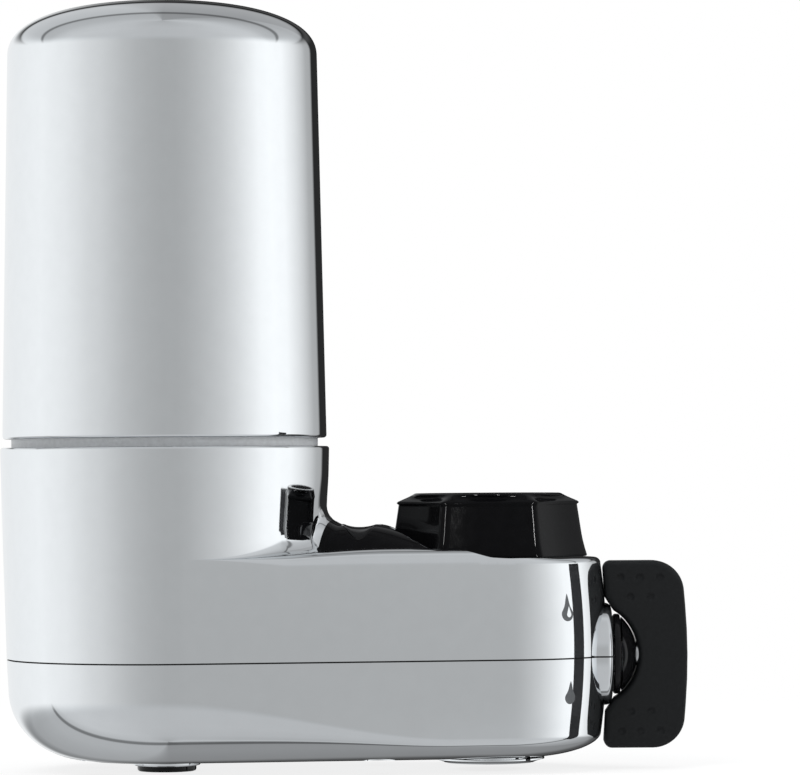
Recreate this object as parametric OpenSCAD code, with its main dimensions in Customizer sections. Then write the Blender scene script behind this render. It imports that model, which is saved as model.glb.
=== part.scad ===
// Faucet mount water filter.
// The origin is on the axis of the mounting collar, on top of its washer, where the faucet seats.
// +Z is up, along the faucet's outlet, and +X points from the cartridge to the diverter handle.

/* [Cartridge shell] */
// Distance from the collar axis to the cartridge axis
cart_offset = 64.5; // [64:0.1:65.5]
// Radius of the shell at its bottom edge
shell_r = 32.35; // [32.2:0.05:32.4]
// Radius of the shell where the dome starts
shell_top_r = 30.9; // [30.6:0.05:31.2]
// Height of the shell's bottom edge
shell_z = 18; // [17.8:0.05:18.3]
// Height of the top of the dome
shell_top_z = 105; // [103:0.5:108]
// Height of the dome above the straight side
dome_h = 11; // [9:0.5:13]
// Exponent of the dome's curve, where 2 is an ellipse
dome_power = 2.4; // [2.2:0.1:2.6]
// Wall of the shell
shell_wall = 1.4; // [1.2:0.1:1.5]

/* [Base] */
// Radius of the base at its top rim
rim_r = 32.9; // [32.7:0.05:33.1]
// Height of the top rim
rim_z = 16.3; // [16:0.1:16.5]
// Radius of the base at the seam, under the cartridge
seam_r = 31.76; // [31.6:0.02:31.9]
// Height of the seam between the two casings
seam_z = -25.8; // [-26:0.1:-25.6]
// Width of the open groove at the seam
seam_gap = 0.3; // [0.2:0.05:0.4]
// Distance of the nose's centre from the collar axis
nose_x = 1.4; // [1.2:0.1:1.6]
// Largest radius of the nose
nose_r = 22.2; // [22:0.05:22.3]
// Height of the base's underside
bottom_z = -46; // [-46.5:0.1:-45.5]
// Width of the curve between the side and the underside
bottom_curve_w = 16; // [15:0.5:16.5]
// Height of that curve under the cartridge
bottom_curve_h = 14; // [12:0.5:15]
// Height of that curve at the nose
nose_curve_h = 5; // [4:0.5:6]
// Wall of the casings
casing_wall = 2.4; // [2.3:0.1:2.6]

/* [Deck and bridge] */
// Height of the deck's edge beside the bridge
deck_z = -4; // [-4.2:0.1:-3.9]
// Height of the landing under the collar and out to the nose
landing_z = -6.2; // [-6.3:0.05:-6.1]
// Radius of the round landing that the collar turns in
landing_r = 20.8; // [20.7:0.05:21]
// Size of the round shoulder at the deck's edge
shoulder = 3.5; // [3:0.1:3.8]
// Radius of the fillet at the foot of the cartridge's tower
foot_r = 3.5; // [3:0.1:4]
// Rise of the bridge above the deck
bridge_rise = 5.1; // [4.8:0.1:5.3]

/* [Mounting collar] */
// Wall radius of the collar's thread for a 55/64 in - 27 faucet
thread_r = 10.9; // [10.8:0.05:11]
// Distance from the collar's axis to a corner at its top
collar_top_r = 18.4; // [18.2:0.1:18.6]
// Distance from the axis to a corner at its flared foot
collar_foot_r = 20.1; // [19.8:0.1:20.2]
// Height of the collar's top face
collar_top_z = 6.7; // [6.4:0.1:7]
// Height of the corners' upper ends
collar_corner_z = 5.1; // [4.9:0.1:5.3]
// Height of the collar's bottom face
collar_foot_z = -6; // [-6.05:0.05:-5.9]
// Hollow in the middle of each of the six faces
collar_hollow = 0.7; // [0.4:0.1:0.9]

/* [Diverter] */
// Height of the diverter's axis
valve_z = -25.6; // [-25.7:0.05:-25.5]
// Radius of the spool
spool_r = 5.5; // [5.4:0.02:5.52]
// Radius of the barrel's bore
barrel_bore_r = 5.58; // [5.56:0.01:5.6]
// Radius of the barrel
barrel_r = 8; // [7.8:0.1:8.2]

/* [Handle] */
// Radius of the chrome boss on the nose
boss_r = 10.2; // [10:0.1:10.4]
// Distance of the boss's face from the collar axis
boss_x = 24.5; // [24.4:0.1:24.6]
// Radius of the hub's flange
hub_r = 8; // [7.8:0.1:8.2]
// Radius of the sphere that the hub's dome is part of
dome_r = 10.1; // [10:0.02:10.14]
// Height of the grip
grip_h = 37.4; // [36.5:0.1:38]
// Distance of the grip's outer edge from the collar axis
grip_x = 39.9; // [39:0.1:40.5]
// Thickness of the grip
grip_t = 6.4; // [6:0.1:7]

/* [Outlets] */
// Radius of the chrome ring of the filtered nozzle
nozzle_r = 6.8; // [6.6:0.1:7]
// Height of the bottom of that ring
nozzle_z = -47.3; // [-47.5:0.1:-47.1]
// Height of the nozzle insert's lower end
insert_z = -48.4; // [-48.6:0.1:-48.2]
// Radius of the tap outlet's flange
tap_r = 11; // [10.6:0.1:11.2]
// Height of the tap outlet's bottom
tap_z = -47; // [-47.2:0.1:-46.8]

/* [Release button] */
// Distance from the collar axis to the button's centre
button_x = -25.5; // [-25.6:0.1:-25.4]
// Width of the button, along X
button_w = 8.6; // [8.4:0.1:8.8]
// Length of the button, across the bridge
button_l = 27; // [26.5:0.1:27.4]
// Depth of the dish in the button's top
button_dish = 1.1; // [0.8:0.1:1.3]

/* [Hidden] */

// Colours
chrome = "#c9ccce";
black_plastic = "#141517";
grip_black = "#1b1d1f";
light_grey = "#c4c7c8";
white_plastic = "#e9e9e4";
carbon_black = "#26272a";
seal_black = "#202022";
steel = "#9ea2a6";

// A value that only pushes a cut past a face
past = 0.5;
// Clearance between parts of one body that sit side by side
seat = 0.1;
// Room left round curved parts
curve_gap = 0.3;
// Position of the cartridge's axis
cart_x = -cart_offset;
// Distance between the centre of the cartridge circle and of the nose circle
span = nose_x - cart_x;

// Number of points along each half of a base section: nose arc, flank and cartridge arc
nose_n = 10;
flank_n = 11;
arc_n = 16;
half_n = nose_n + flank_n + arc_n;
ring_n = 2 * half_n;

// Heights inside the base
ceiling_z = -10.2;
well_floor_z = -12;
bowl_z = -14.2;
well_shelf_z = -6.4;
floor_z = bottom_z + casing_wall;
well_r = 31;
spigot_r = 28;
bowl_r = 30.4;
lip_h = 1.6;
lip_w = 1.2;

// Curves used by more than one part
function mix(a, b, t) = a + (b - a) * t;
function ease(t) = let (c = max(0, min(1, t))) c * c * (3 - 2 * c);
function polar(r, a) = [r * cos(a), r * sin(a)];

// Radius of the base about the cartridge axis, and of the nose, at height z
function tower_r(z) = mix(seam_r, rim_r, (z - seam_z) / (rim_z - seam_z));
function lower_r(z) = seam_r - 0.36 * min(1, (seam_z - z) / 7);
function side_r(z) = z > seam_z ? tower_r(z) : lower_r(z);
function nose_side_r(z) = nose_r - 0.0043 * pow(z + 24, 2);

// Point k of a section: two circles joined by their common tangents
function tangent_a(rc, rn) = acos((rc - rn) / span);
function half_point(rc, rn, k) =
    let (a = tangent_a(rc, rn))
    k <= nose_n ? [nose_x, 0] + polar(rn, a * k / nose_n)
    : k < nose_n + flank_n
        ? let (t = (k - nose_n) / flank_n)
          mix([nose_x, 0] + polar(rn, a), [cart_x, 0] + polar(rc, a), t * (1.3 - 0.3 * t))
    : [cart_x, 0] + polar(rc, mix(a, 180, (k - nose_n - flank_n) / arc_n));
function section_point(rc, rn, i) =
    i <= half_n ? half_point(rc, rn, i)
    : let (p = half_point(rc, rn, ring_n - i)) [p.x, -p.y];

// Heights of the deck: its edge, the bridge's rise and width, and the whole surface
function edge_z(x) = mix(deck_z, landing_z, ease((x + 5) / 20));
function rise(x) = bridge_rise * (1 - ease((x + 26.5) / 26));
function bridge_w(x) = mix(14.5, 17.5, max(0, min(1, (x + 28) / 13)));
function surface_z(x, y) = edge_z(x) + rise(x) * max(0, 1 - pow(abs(y) / bridge_w(x), 5));

// Station i of the upper casing, from its ceiling over the deck to the rim
from_axis = [cart_x, 0];
ledge_low_z = -7.8;
ledge_high_z = 1.2;
shoulder_n = 5;
deck_n = 9;
foot_n = 4;
ledge_n = shoulder_n + deck_n + foot_n + 1;
function out_angle(i) =
    let (p = section_point(side_r(deck_z), nose_side_r(deck_z - shoulder), i) - from_axis) atan2(p.y, p.x);
function out_gap(i) =
    norm(section_point(side_r(deck_z), nose_side_r(deck_z - shoulder), i) - from_axis) - side_r(deck_z);
function deck_point(i, j) =
    let (
        gap = max(0, out_gap(i)),
        s = min(shoulder, 0.42 * gap),
        f = min(foot_r, 0.42 * gap),
        a = out_angle(i),
        wall = side_r(deck_z),
        inner = section_point(wall - s, nose_side_r(deck_z - shoulder) - s, i),
        foot = from_axis + polar(wall + f, a),
        foot_z = surface_z(foot.x, foot.y)
    )
    j <= shoulder_n
        ? let (
              q = 90 * j / shoulder_n,
              in = s * (1 - cos(q)),
              p = section_point(wall - in, nose_side_r(deck_z - shoulder) - in, i)
          )
          [p.x, p.y, edge_z(p.x) - s * (1 - sin(q))]
    : j <= shoulder_n + deck_n
        ? let (v = pow(1 - (j - shoulder_n) / deck_n, 1.8), p = mix(foot, inner, v))
          [p.x, p.y, surface_z(p.x, p.y)]
    : let (
          q = 90 * (j - shoulder_n - deck_n) / foot_n,
          p = from_axis + polar(wall + f * (1 - sin(q)), a)
      )
      [p.x, p.y, foot_z + f * (1 - cos(q))];
function ledge_point(i, j) =
    let (
        w = ease(out_gap(i) / 2.5),
        z = mix(ledge_low_z, ledge_high_z, j / (ledge_n - 1)),
        p = from_axis + polar(side_r(z), out_angle(i))
    )
    mix([p.x, p.y, z], deck_point(i, j), w);

// A level ring of a base section
function level(rc, rn, z) = [for (i = [0 : ring_n - 1]) let (p = section_point(rc, rn, i)) [p.x, p.y, z]];
function side_level(z, inset) = level(side_r(z) - inset, nose_side_r(z) - inset, z);
function tower_level(r, z) =
    [for (i = [0 : ring_n - 1]) let (p = from_axis + polar(r, out_angle(i))) [p.x, p.y, z]];

// Height and radii of the underside's curve at station i
function curve_h(x) = mix(bottom_curve_h, nose_curve_h, ease((x - cart_x) / 58));
function under_point(i, q, inset, base) =
    let (
        x = section_point(seam_r, nose_r, i).x,
        h = curve_h(x),
        top = bottom_z + h,
        in = bottom_curve_w * (1 - cos(q)),
        z = max(base, top - h * sin(q) + (inset > 0 ? inset * sin(q) : 0)),
        p = section_point(side_r(top) - in - inset, nose_side_r(top) - in - inset, i)
    )
    [p.x, p.y, z];
function under_ring(q, inset, base) = [for (i = [0 : ring_n - 1]) under_point(i, q, inset, base)];
function flank_ring(t, inset) =
    [
        for (i = [0 : ring_n - 1])
            let (
                x = section_point(seam_r, nose_r, i).x,
                z = mix(seam_z - seam_gap / 2, bottom_z + curve_h(x), t),
                p = section_point(side_r(z) - inset, nose_side_r(z) - inset, i)
            )
            [p.x, p.y, z]
    ];

// Points of the round at corner b, between its neighbours a and c
function corner(a, b, c, r, n) =
    let (
        u = (a - b) / norm(a - b),
        v = (c - b) / norm(c - b),
        half = acos(u * v) / 2,
        mid = b + (u + v) / norm(u + v) * r / sin(half),
        p = b + u * r / tan(half) - mid,
        turn = (180 - 2 * half) * sign(u.x * v.y - u.y * v.x)
    )
    [for (k = [0 : n]) let (t = -turn * k / n) mid + [p.x * cos(t) - p.y * sin(t), p.x * sin(t) + p.y * cos(t)]];

// Closed skin over a list of rings with the same number of points, capped at both ends
module skin(rings) {
    m = len(rings[0]);
    last = len(rings) - 1;
    polyhedron(
        points = [for (r = rings) each r],
        faces = [
            [for (i = [0 : m - 1]) i],
            for (k = [0 : last - 1], i = [0 : m - 1])
                let (a = k * m + i, b = k * m + (i + 1) % m)
                each [[a, a + m, b + m], [a, b + m, b]],
            [for (i = [m - 1 : -1 : 0]) last * m + i]
        ],
        convexity = 8
    );
}

// Ring of round section
module o_ring(r, wire) {
    rotate_extrude($fn = 48) translate([r, 0]) circle(r = wire, $fn = 20);
}

// Tube or rod about Z, from z0 to z1
module rod(r, z0, z1) {
    translate([0, 0, z0]) cylinder(r = r, h = z1 - z0, $fn = 64);
}

// The same about X at the diverter's height, from x0 to x1
module cross_rod(r, x0, x1) {
    translate([x0, 0, valve_z]) rotate([0, 90, 0]) cylinder(r = r, h = x1 - x0, $fn = 64);
}

// Shell profile: outside from the bottom edge to the top, at a given offset inwards
dome_n = 22;
dome_z = shell_top_z - dome_h;
function dome_curve(inset) =
    [
        for (k = [0 : dome_n])
            let (a = 90 * k / dome_n, e = 2 / dome_power)
            [(shell_top_r - inset) * pow(cos(a), e), dome_z + (dome_h - inset) * pow(sin(a), e)]
    ];

module filter_shell() {
    edge_r = 0.6;
    seat_z = 22;
    side_in = shell_r - 0.1 - shell_wall;
    color(chrome)
        translate([cart_x, 0, 0])
            rotate_extrude($fn = 128)
                polygon([
                    [well_r, shell_z],
                    for (k = [0 : 4]) [shell_r - edge_r, shell_z + edge_r] + edge_r * [sin(22.5 * k), -cos(22.5 * k)],
                    each dome_curve(0),
                    for (k = [dome_n : -1 : 0]) dome_curve(shell_wall)[k],
                    [side_in - 0.5, seat_z],
                    [well_r, seat_z]
                ]);
}

module cartridge_canister() {
    wall = 1.8;
    foot_z = 22.1;
    can_r = 28.6;
    can_top = 98;
    round_r = 8;
    color(white_plastic)
        translate([cart_x, 0, 0])
            rotate_extrude($fn = 96)
                polygon([
                    [can_r - wall, foot_z],
                    [can_r, foot_z],
                    for (k = [0 : 8]) [can_r - round_r, can_top - round_r] + polar(round_r, 90 * k / 8),
                    [0, can_top],
                    [0, can_top - wall],
                    for (k = [8 : -1 : 0]) [can_r - round_r, can_top - round_r] + polar(round_r - wall, 90 * k / 8)
                ]);
}

// Nipples of the cartridge and their sockets
nipple_r = 5.7;
nipple_end_z = -22;
nipple_socket_r = 6;
feed_x = cart_x + 19;
feed_nipple_r = 3.9;
feed_end_z = -20;
feed_socket_r = 4.2;
seal_z = -18.5;
feed_seal_z = -17.5;
seal_groove_h = 1.6;

module cartridge_base() {
    neck_r = 30.6;
    neck_top_z = 22;
    neck_wall = 2.2;
    floor_t = 2.6;
    bottom = well_floor_z + 0.3;
    shelf = well_shelf_z + 0.3;
    catch_z = -10.1;
    catch_h = 2.4;
    catch_r = 26.9;
    color(light_grey)
        difference() {
            union() {
                translate([cart_x, 0, 0])
                    rotate_extrude($fn = 96)
                        polygon([
                            [0, bottom],
                            [spigot_r, bottom],
                            [spigot_r, catch_z],
                            [catch_r, catch_z],
                            [catch_r, catch_z + catch_h],
                            [spigot_r, catch_z + catch_h],
                            [spigot_r, shelf],
                            [neck_r, shelf],
                            [neck_r, neck_top_z],
                            [neck_r - neck_wall, neck_top_z],
                            [neck_r - neck_wall, shelf + floor_t],
                            [catch_r - neck_wall, shelf + floor_t - 1],
                            [catch_r - neck_wall, bottom + floor_t],
                            [0, bottom + floor_t]
                        ]);
                translate([cart_x, 0, 0]) rod(nipple_r, nipple_end_z, bottom + 1);
                translate([cart_x, 0, 0]) rod(8.6, bottom + 1, bottom + 8);
                translate([feed_x, 0, 0]) rod(feed_nipple_r, feed_end_z, bottom + 1);
            }
            translate([cart_x, 0, 0]) rod(3.6, nipple_end_z - past, bottom + 3);
            translate([cart_x, 0, 0]) rod(7, bottom + 3, bottom + 8 + past);
            translate([feed_x, 0, 0]) rod(2.2, feed_end_z - past, bottom + floor_t + past);
            translate([cart_x, 0, seal_z])
                rotate_extrude($fn = 48) translate([4.7, -seal_groove_h / 2]) square([3, seal_groove_h]);
            translate([feed_x, 0, feed_seal_z])
                rotate_extrude($fn = 48) translate([3, -seal_groove_h / 2]) square([3, seal_groove_h]);
        }
}

// The block and its caps
block_r = 21;
block_bore_r = 6;
block_z0 = 4;
block_z1 = 86;
cap_r = 24.2;
cap_t = 2;
cap_skirt = 3;

module carbon_block() {
    color(carbon_black)
        translate([cart_x, 0, 0])
            difference() {
                rod(block_r, block_z0, block_z1);
                rod(block_bore_r, block_z0 - past, block_z1 + past);
            }
}

module prefilter_sleeve() {
    pleats = 40;
    inner = block_r + 0.2;
    outer = cap_r - 1.2;
    sheet = 0.5;
    zigzag = [for (k = [0 : 2 * pleats - 1]) polar(k % 2 == 0 ? inner + sheet : outer, 180 * k / pleats)];
    inside = [for (k = [0 : 2 * pleats - 1]) polar(k % 2 == 0 ? inner : outer - sheet, 180 * k / pleats)];
    color(white_plastic)
        translate([cart_x, 0, block_z0 + 0.05])
            linear_extrude(block_z1 - block_z0 - 0.1)
                difference() {
                    polygon(zigzag);
                    polygon(inside);
                }
}

module top_end_cap() {
    color(white_plastic)
        translate([cart_x, 0, 0])
            difference() {
                rod(cap_r, block_z1 - cap_skirt, block_z1 + cap_t);
                rod(cap_r - 1, block_z1 - cap_skirt - past, block_z1);
            }
}

cap_spigot_r = 6.8;
cap_spigot_z = -7.6;

module bottom_end_cap() {
    color(white_plastic)
        translate([cart_x, 0, 0])
            difference() {
                union() {
                    rod(cap_r, block_z0 - cap_t, block_z0 + cap_skirt);
                    rod(cap_spigot_r, cap_spigot_z, block_z0 - cap_t);
                }
                rod(cap_r - 1, block_z0, block_z0 + cap_skirt + past);
                rod(4.2, cap_spigot_z - past, block_z0 + past);
                translate([0, 0, cap_spigot_z + 2])
                    rotate_extrude($fn = 48) translate([5.7, -0.8]) square([3, 1.6]);
            }
}

module cap_seal() {
    color(seal_black) translate([cart_x, 0, cap_spigot_z + 2]) o_ring(6.3, 0.6);
}

module nipple_seal() {
    color(seal_black) translate([cart_x, 0, seal_z]) o_ring(5.3, 0.58);
}

module feed_seal() {
    color(seal_black) translate([feed_x, 0, feed_seal_z]) o_ring(3.57, 0.55);
}

// Places of the case screws, each beside its mirror image
screw_xy = [[cart_x - 13.5, 10], [-22, 13]];
screw_head_z = -43;
module at_screws() {
    for (p = screw_xy, side = [-1, 1]) translate([p.x, side * p.y, 0]) children();
}

// The chrome boss on the nose, before the seam splits it
module boss() {
    round_r = 1.2;
    translate([0, 0, valve_z])
        rotate([0, 90, 0])
            rotate_extrude($fn = 96)
                polygon([
                    [0, 16.5],
                    [boss_r, 16.5],
                    for (k = [0 : 4]) [boss_r - round_r, boss_x - round_r] + polar(round_r, 22.5 * k),
                    [0, boss_x]
                ]);
}

// What the diverter's barrel and spool take out of either casing
module barrel_room() {
    cross_rod(barrel_r + seat, 8, 21.4);
    cross_rod(6.4, 8, boss_x + past);
}

// Oval of a given length and width, drawn from arcs of a formula
function oval(w, l) = [for (k = [0 : 47]) [w / 2 * cos(7.5 * k), l / 2 * sin(7.5 * k)]];

button_travel = 1.5;
button_floor_z = -4.8;
spring_floor_z = -9;
spring_y = 8.8;
spring_hole_r = 1.6;
button_spring_top = -1.9;
leg_w = 5;
channel_half = 6.3;
channel_x = [-36.4, -17];
channel_top_z = -7.7;

module base_housing() {
    low = seam_z + seam_gap / 2;
    color(chrome)
        difference() {
            union() {
                skin([
                    side_level(ceiling_z, 2.9),
                    side_level(low + lip_h, casing_wall),
                    side_level(low + lip_h, casing_wall - lip_w),
                    side_level(low, casing_wall - lip_w),
                    side_level(low, 0),
                    side_level(-19, 0),
                    side_level(-13, 0),
                    for (j = [0 : ledge_n - 1]) [for (i = [0 : ring_n - 1]) ledge_point(i, j)],
                    tower_level(side_r(8), 8),
                    tower_level(side_r(rim_z - 0.5), rim_z - 0.5),
                    tower_level(side_r(rim_z) - 0.15, rim_z - 0.15),
                    tower_level(side_r(rim_z) - 0.5, rim_z)
                ]);
                translate([cart_x, 0, 0]) rod(bowl_r, bowl_z, ceiling_z + 1);
                intersection() {
                    boss();
                    translate([0, -20, low]) cube([40, 40, 20]);
                }
                at_screws() rod(3.4, -29, ceiling_z + 1);
            }
            translate([cart_x, 0, 0]) {
                rod(well_r, well_shelf_z, rim_z + past);
                rod(spigot_r + 0.4, well_floor_z, well_shelf_z + past);
                rod(8.4, bowl_z - past, well_floor_z + past);
            }
            translate([feed_x, 0, 0]) rod(6.2, bowl_z - past, well_floor_z + past);
            rod(landing_r, landing_z, 6);
            rod(7.6, ceiling_z - past, landing_z + past);
            barrel_room();
            translate([detent_x, 0, 0]) rod(turret_r + curve_gap, valve_z, turret_z + curve_gap);
            at_screws() rod(1.6, -29 - past, -20);
            translate([button_x, 0, button_floor_z])
                linear_extrude(8) polygon(oval(button_w, button_l));
            translate([button_x - leg_w / 2 - 0.2, -2.8, channel_top_z - past])
                cube([leg_w + 0.4, 5.6, button_floor_z - channel_top_z + 2 * past]);
            for (side = [-1, 1])
                translate([button_x, side * spring_y, 0]) rod(spring_hole_r, spring_floor_z, button_floor_z + past);
            translate([channel_x[0], -channel_half, ceiling_z - past - 3.5])
                cube([channel_x[1] - channel_x[0], 2 * channel_half, channel_top_z - ceiling_z + past + 3.5]);
        }
}

module base_bottom() {
    high = seam_z - seam_gap / 2;
    lip_in = casing_wall - lip_w + 0.05;
    color(chrome)
        difference() {
            union() {
                skin([
                    for (q = [90, 78, 66, 54, 43, 32, 21, 10]) under_ring(q, 0, bottom_z),
                    flank_ring(1, 0),
                    flank_ring(0.5, 0),
                    flank_ring(0, 0),
                    side_level(high, lip_in),
                    side_level(high + lip_h + seam_gap - 0.1, lip_in),
                    side_level(high + lip_h + seam_gap - 0.1, casing_wall),
                    side_level(high - 1, casing_wall),
                    flank_ring(0.7, casing_wall),
                    for (q = [20, 40, 60, 80]) under_ring(q, casing_wall, floor_z)
                ]);
                intersection() {
                    boss();
                    translate([0, -20, high - 20]) cube([40, 40, 20]);
                }
                at_screws() rod(4.4, floor_z - 1, -29.2);
            }
            barrel_room();
            at_screws() {
                rod(1.8, screw_head_z - past, -29);
                rod(3.2, bottom_z - past, screw_head_z);
            }
            translate([cart_x, 0, 0]) rod(nozzle_r + seat, bottom_z - past, floor_z + 4);
            rod(8.1, bottom_z - past, floor_z + past);
            // The lip stops on either side of the boss
            translate([16, -boss_r - curve_gap, high]) cube([8, 2 * (boss_r + curve_gap), 3]);
        }
}

// Pan head screw along +Z with its head's seat at z = 0
module screw(head_r, head_h, shank_r, shank_l) {
    slot = 0.7;
    difference() {
        union() {
            rod(head_r, -head_h, 0);
            rod(shank_r, 0, shank_l);
        }
        for (a = [0, 90])
            rotate([0, 0, a])
                translate([-head_r * 0.6, -slot / 2, -head_h - past])
                    cube([head_r * 1.2, slot, head_h / 2 + past]);
    }
}

module case_screws() {
    color(steel) at_screws() translate([0, 0, screw_head_z]) screw(2.9, 1.9, 1.5, 20);
}

// The diverter: barrel with an inlet neck above, a tap neck below and a feed end at the left
neck_r = 9.4;
stem_r = 7.4;
stem_end_z = -17;
barrel_x0 = -14;
barrel_x1 = 21.2;
tap_neck_r = 7.9;
tap_neck_z = -39;
detent_x = 16.5;
turret_r = 2.7;
turret_z = -13;

module valve_body() {
    color(white_plastic)
        difference() {
            union() {
                cross_rod(barrel_r, barrel_x0, barrel_x1);
                rod(neck_r, valve_z, ceiling_z - 0.1);
                rod(tap_neck_r, tap_neck_z, valve_z);
                translate([detent_x, 0, 0]) rod(turret_r, valve_z, turret_z);
            }
            cross_rod(barrel_bore_r, barrel_x0 + 4, barrel_x1 + past);
            cross_rod(3, barrel_x0 - past, barrel_x0 + 4 + past);
            rod(stem_r + 0.05, stem_end_z - 0.1, ceiling_z + past);
            rod(4.4, valve_z, stem_end_z + past);
            rod(4.4, tap_neck_z - past, valve_z);
            translate([detent_x, 0, 0]) rod(1.2, valve_z, turret_z - 0.8);
        }
}

module feed_duct() {
    pipe_r = 4.4;
    pipe_bore = 2.8;
    socket_out_r = 6;
    socket_floor_z = -21;
    color(white_plastic)
        difference() {
            union() {
                cross_rod(pipe_r, feed_x, barrel_x0 - 0.02);
                translate([feed_x, 0, 0]) rod(socket_out_r, valve_z - pipe_r - 0.6, well_floor_z);
                translate([feed_x, 0, 0]) rod(7.6, bowl_z - 2.1, bowl_z - 0.05);
            }
            cross_rod(pipe_bore, feed_x, barrel_x0 + past);
            translate([feed_x, 0, 0]) rod(pipe_bore, valve_z, socket_floor_z + past);
            translate([feed_x, 0, 0]) rod(feed_socket_r, socket_floor_z, well_floor_z + past);
        }
}

duct_end_z = -39.5;
module outlet_duct() {
    socket_out_r = 8.2;
    socket_floor_z = -24;
    pipe_r = 5.4;
    color(white_plastic)
        translate([cart_x, 0, 0])
            difference() {
                union() {
                    rod(socket_out_r, socket_floor_z - 2, well_floor_z);
                    rod(10.2, bowl_z - 2.1, bowl_z - 0.05);
                    rod(pipe_r, duct_end_z, socket_floor_z - 1);
                }
                rod(nipple_socket_r, socket_floor_z, well_floor_z + past);
                rod(3.6, duct_end_z - past, socket_floor_z + past);
            }
}

module filtered_nozzle() {
    top = -40;
    round_r = 0.5;
    color(chrome)
        translate([cart_x, 0, 0])
            rotate_extrude($fn = 72)
                polygon([
                    [4.8, nozzle_z],
                    for (k = [0 : 3]) [nozzle_r - round_r, nozzle_z + round_r] + round_r * [sin(30 * k), -cos(30 * k)],
                    [nozzle_r, top],
                    [4.8, top]
                ]);
}

module nozzle_insert() {
    lip_r = 5.9;
    round_r = 0.45;
    bore_r = 3.9;
    vane_t = 0.5;
    vanes_z = -46.4;
    color(black_plastic)
        translate([cart_x, 0, 0]) {
            rotate_extrude($fn = 72)
                polygon([
                    [bore_r, insert_z],
                    for (k = [0 : 3]) [lip_r - round_r, insert_z + round_r] + round_r * [sin(30 * k), -cos(30 * k)],
                    [lip_r, nozzle_z - 0.02],
                    [4.7, nozzle_z - 0.02],
                    [4.7, -40.2],
                    [bore_r, -40.2]
                ]);
            intersection() {
                rod(bore_r + 0.2, vanes_z, -42);
                for (k = [-1.5 : 1 : 1.5]) {
                    translate([-5, k * 1.9 - vane_t / 2, vanes_z]) cube([10, vane_t, 4.4]);
                    translate([k * 1.9 - vane_t / 2, -5, vanes_z]) cube([vane_t, 10, 4.4]);
                }
            }
        }
}

module tap_outlet() {
    mouth_r = 7;
    top = -39.2;
    color(chrome)
        rotate_extrude($fn = 72)
            polygon([
                [mouth_r, tap_z],
                [9, tap_z],
                for (k = [1 : 5]) [mix(9, tap_r, pow(k / 5, 1.4)), mix(tap_z, bottom_z - 0.35, k / 5)],
                [tap_r, bottom_z - 0.05],
                [8, bottom_z - 0.05],
                [8, top],
                [5, top],
                [5, -41],
                [mouth_r, -42]
            ]);
}

module spray_plate() {
    plate_r = 6.9;
    rows = [[0, 1], [1.7, 6], [3.3, 12], [4.9, 18]];
    color(black_plastic)
        difference() {
            union() {
                rod(plate_r, -46.7, -45.2);
                difference() {
                    rod(plate_r, -45.3, -43.6);
                    rod(plate_r - 1, -45.4, -43.5);
                }
            }
            for (row = rows, k = [0 : row[1] - 1])
                rotate([0, 0, 360 * k / row[1]])
                    translate([row[0], 0, -46.7 - past])
                        cylinder(r = 0.45, h = 3, $fn = 16);
        }
}

module outlet_screen() {
    color(steel)
        difference() {
            rod(6.8, -43.5, -42.9);
            for (i = [-3 : 3], j = [-3 : 3])
                if (i * i + j * j < 11)
                    translate([1.6 * i, 1.6 * j, -44])
                        cylinder(r = 0.55, h = 2, $fn = 16);
        }
}

// The collar's outline at height z, with a corner distance of r
sector_a = [0, 2.5, 6, 12, 20, 30, 40, 48, 54, 57.5];
function collar_ring(r, z, hollow) =
    [
        for (s = [0 : 5], a = sector_a)
            let (
                flat = r * cos(30) / cos(a - 30),
                dent = hollow * (1 - pow((a - 30) / 30, 2)),
                p = polar(min(flat - dent, r * 0.985), 60 * s + a)
            )
            [p.x, p.y, z]
    ];
function round_ring(r, z) = [for (s = [0 : 5], a = sector_a) let (p = polar(r, 60 * s + a)) [p.x, p.y, z]];
function collar_r(z) =
    mix(collar_foot_r, collar_top_r, (z - collar_foot_z) / (collar_corner_z - collar_foot_z))
    + 0.5 * pow(max(0, 1 - (z - collar_foot_z) / 5), 2) - 0.4;

module mounting_collar() {
    lip_z = -4;
    color(black_plastic)
        difference() {
            skin([
                collar_ring(collar_r(collar_foot_z) - 0.5, collar_foot_z, collar_hollow),
                collar_ring(collar_r(collar_foot_z) - 0.1, collar_foot_z + 0.3, collar_hollow),
                for (z = [-5.2, -4, -2, 1]) collar_ring(collar_r(z), z, collar_hollow),
                collar_ring(collar_top_r + 0.1, collar_corner_z - 0.4, collar_hollow),
                collar_ring(collar_top_r - 0.3, collar_corner_z, collar_hollow),
                collar_ring(collar_top_r - 2.6, collar_top_z - 0.65, 0.2),
                round_ring(14.9, collar_top_z - 0.2),
                round_ring(14.4, collar_top_z)
            ]);
            rod(stem_r + 0.3, collar_foot_z - past, lip_z + past);
            rod(thread_r + 0.3, lip_z, 0);
            rod(thread_r, -past, collar_top_z + past);
            translate([0, 0, collar_top_z - 0.6])
                cylinder(r1 = thread_r, r2 = thread_r + 0.7, h = 0.61, $fn = 64);
            rod(thread_r + 0.7, collar_top_z, collar_top_z + past);
        }
}

flange_r = 10.4;
washer_t = 2;
module inlet_stem() {
    bore = 5.2;
    flange_t = 1.7;
    color(white_plastic)
        difference() {
            union() {
                rod(flange_r, -washer_t - flange_t, -washer_t);
                rod(stem_r, stem_end_z, -washer_t - flange_t + 0.1);
            }
            rod(bore, stem_end_z - past, -washer_t + past);
            rod(6.4, -washer_t - 0.7, -washer_t + past);
        }
}

module inlet_washer() {
    color(seal_black)
        difference() {
            rod(flange_r, -washer_t, 0);
            rod(5.9, -washer_t - past, past);
        }
}

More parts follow.
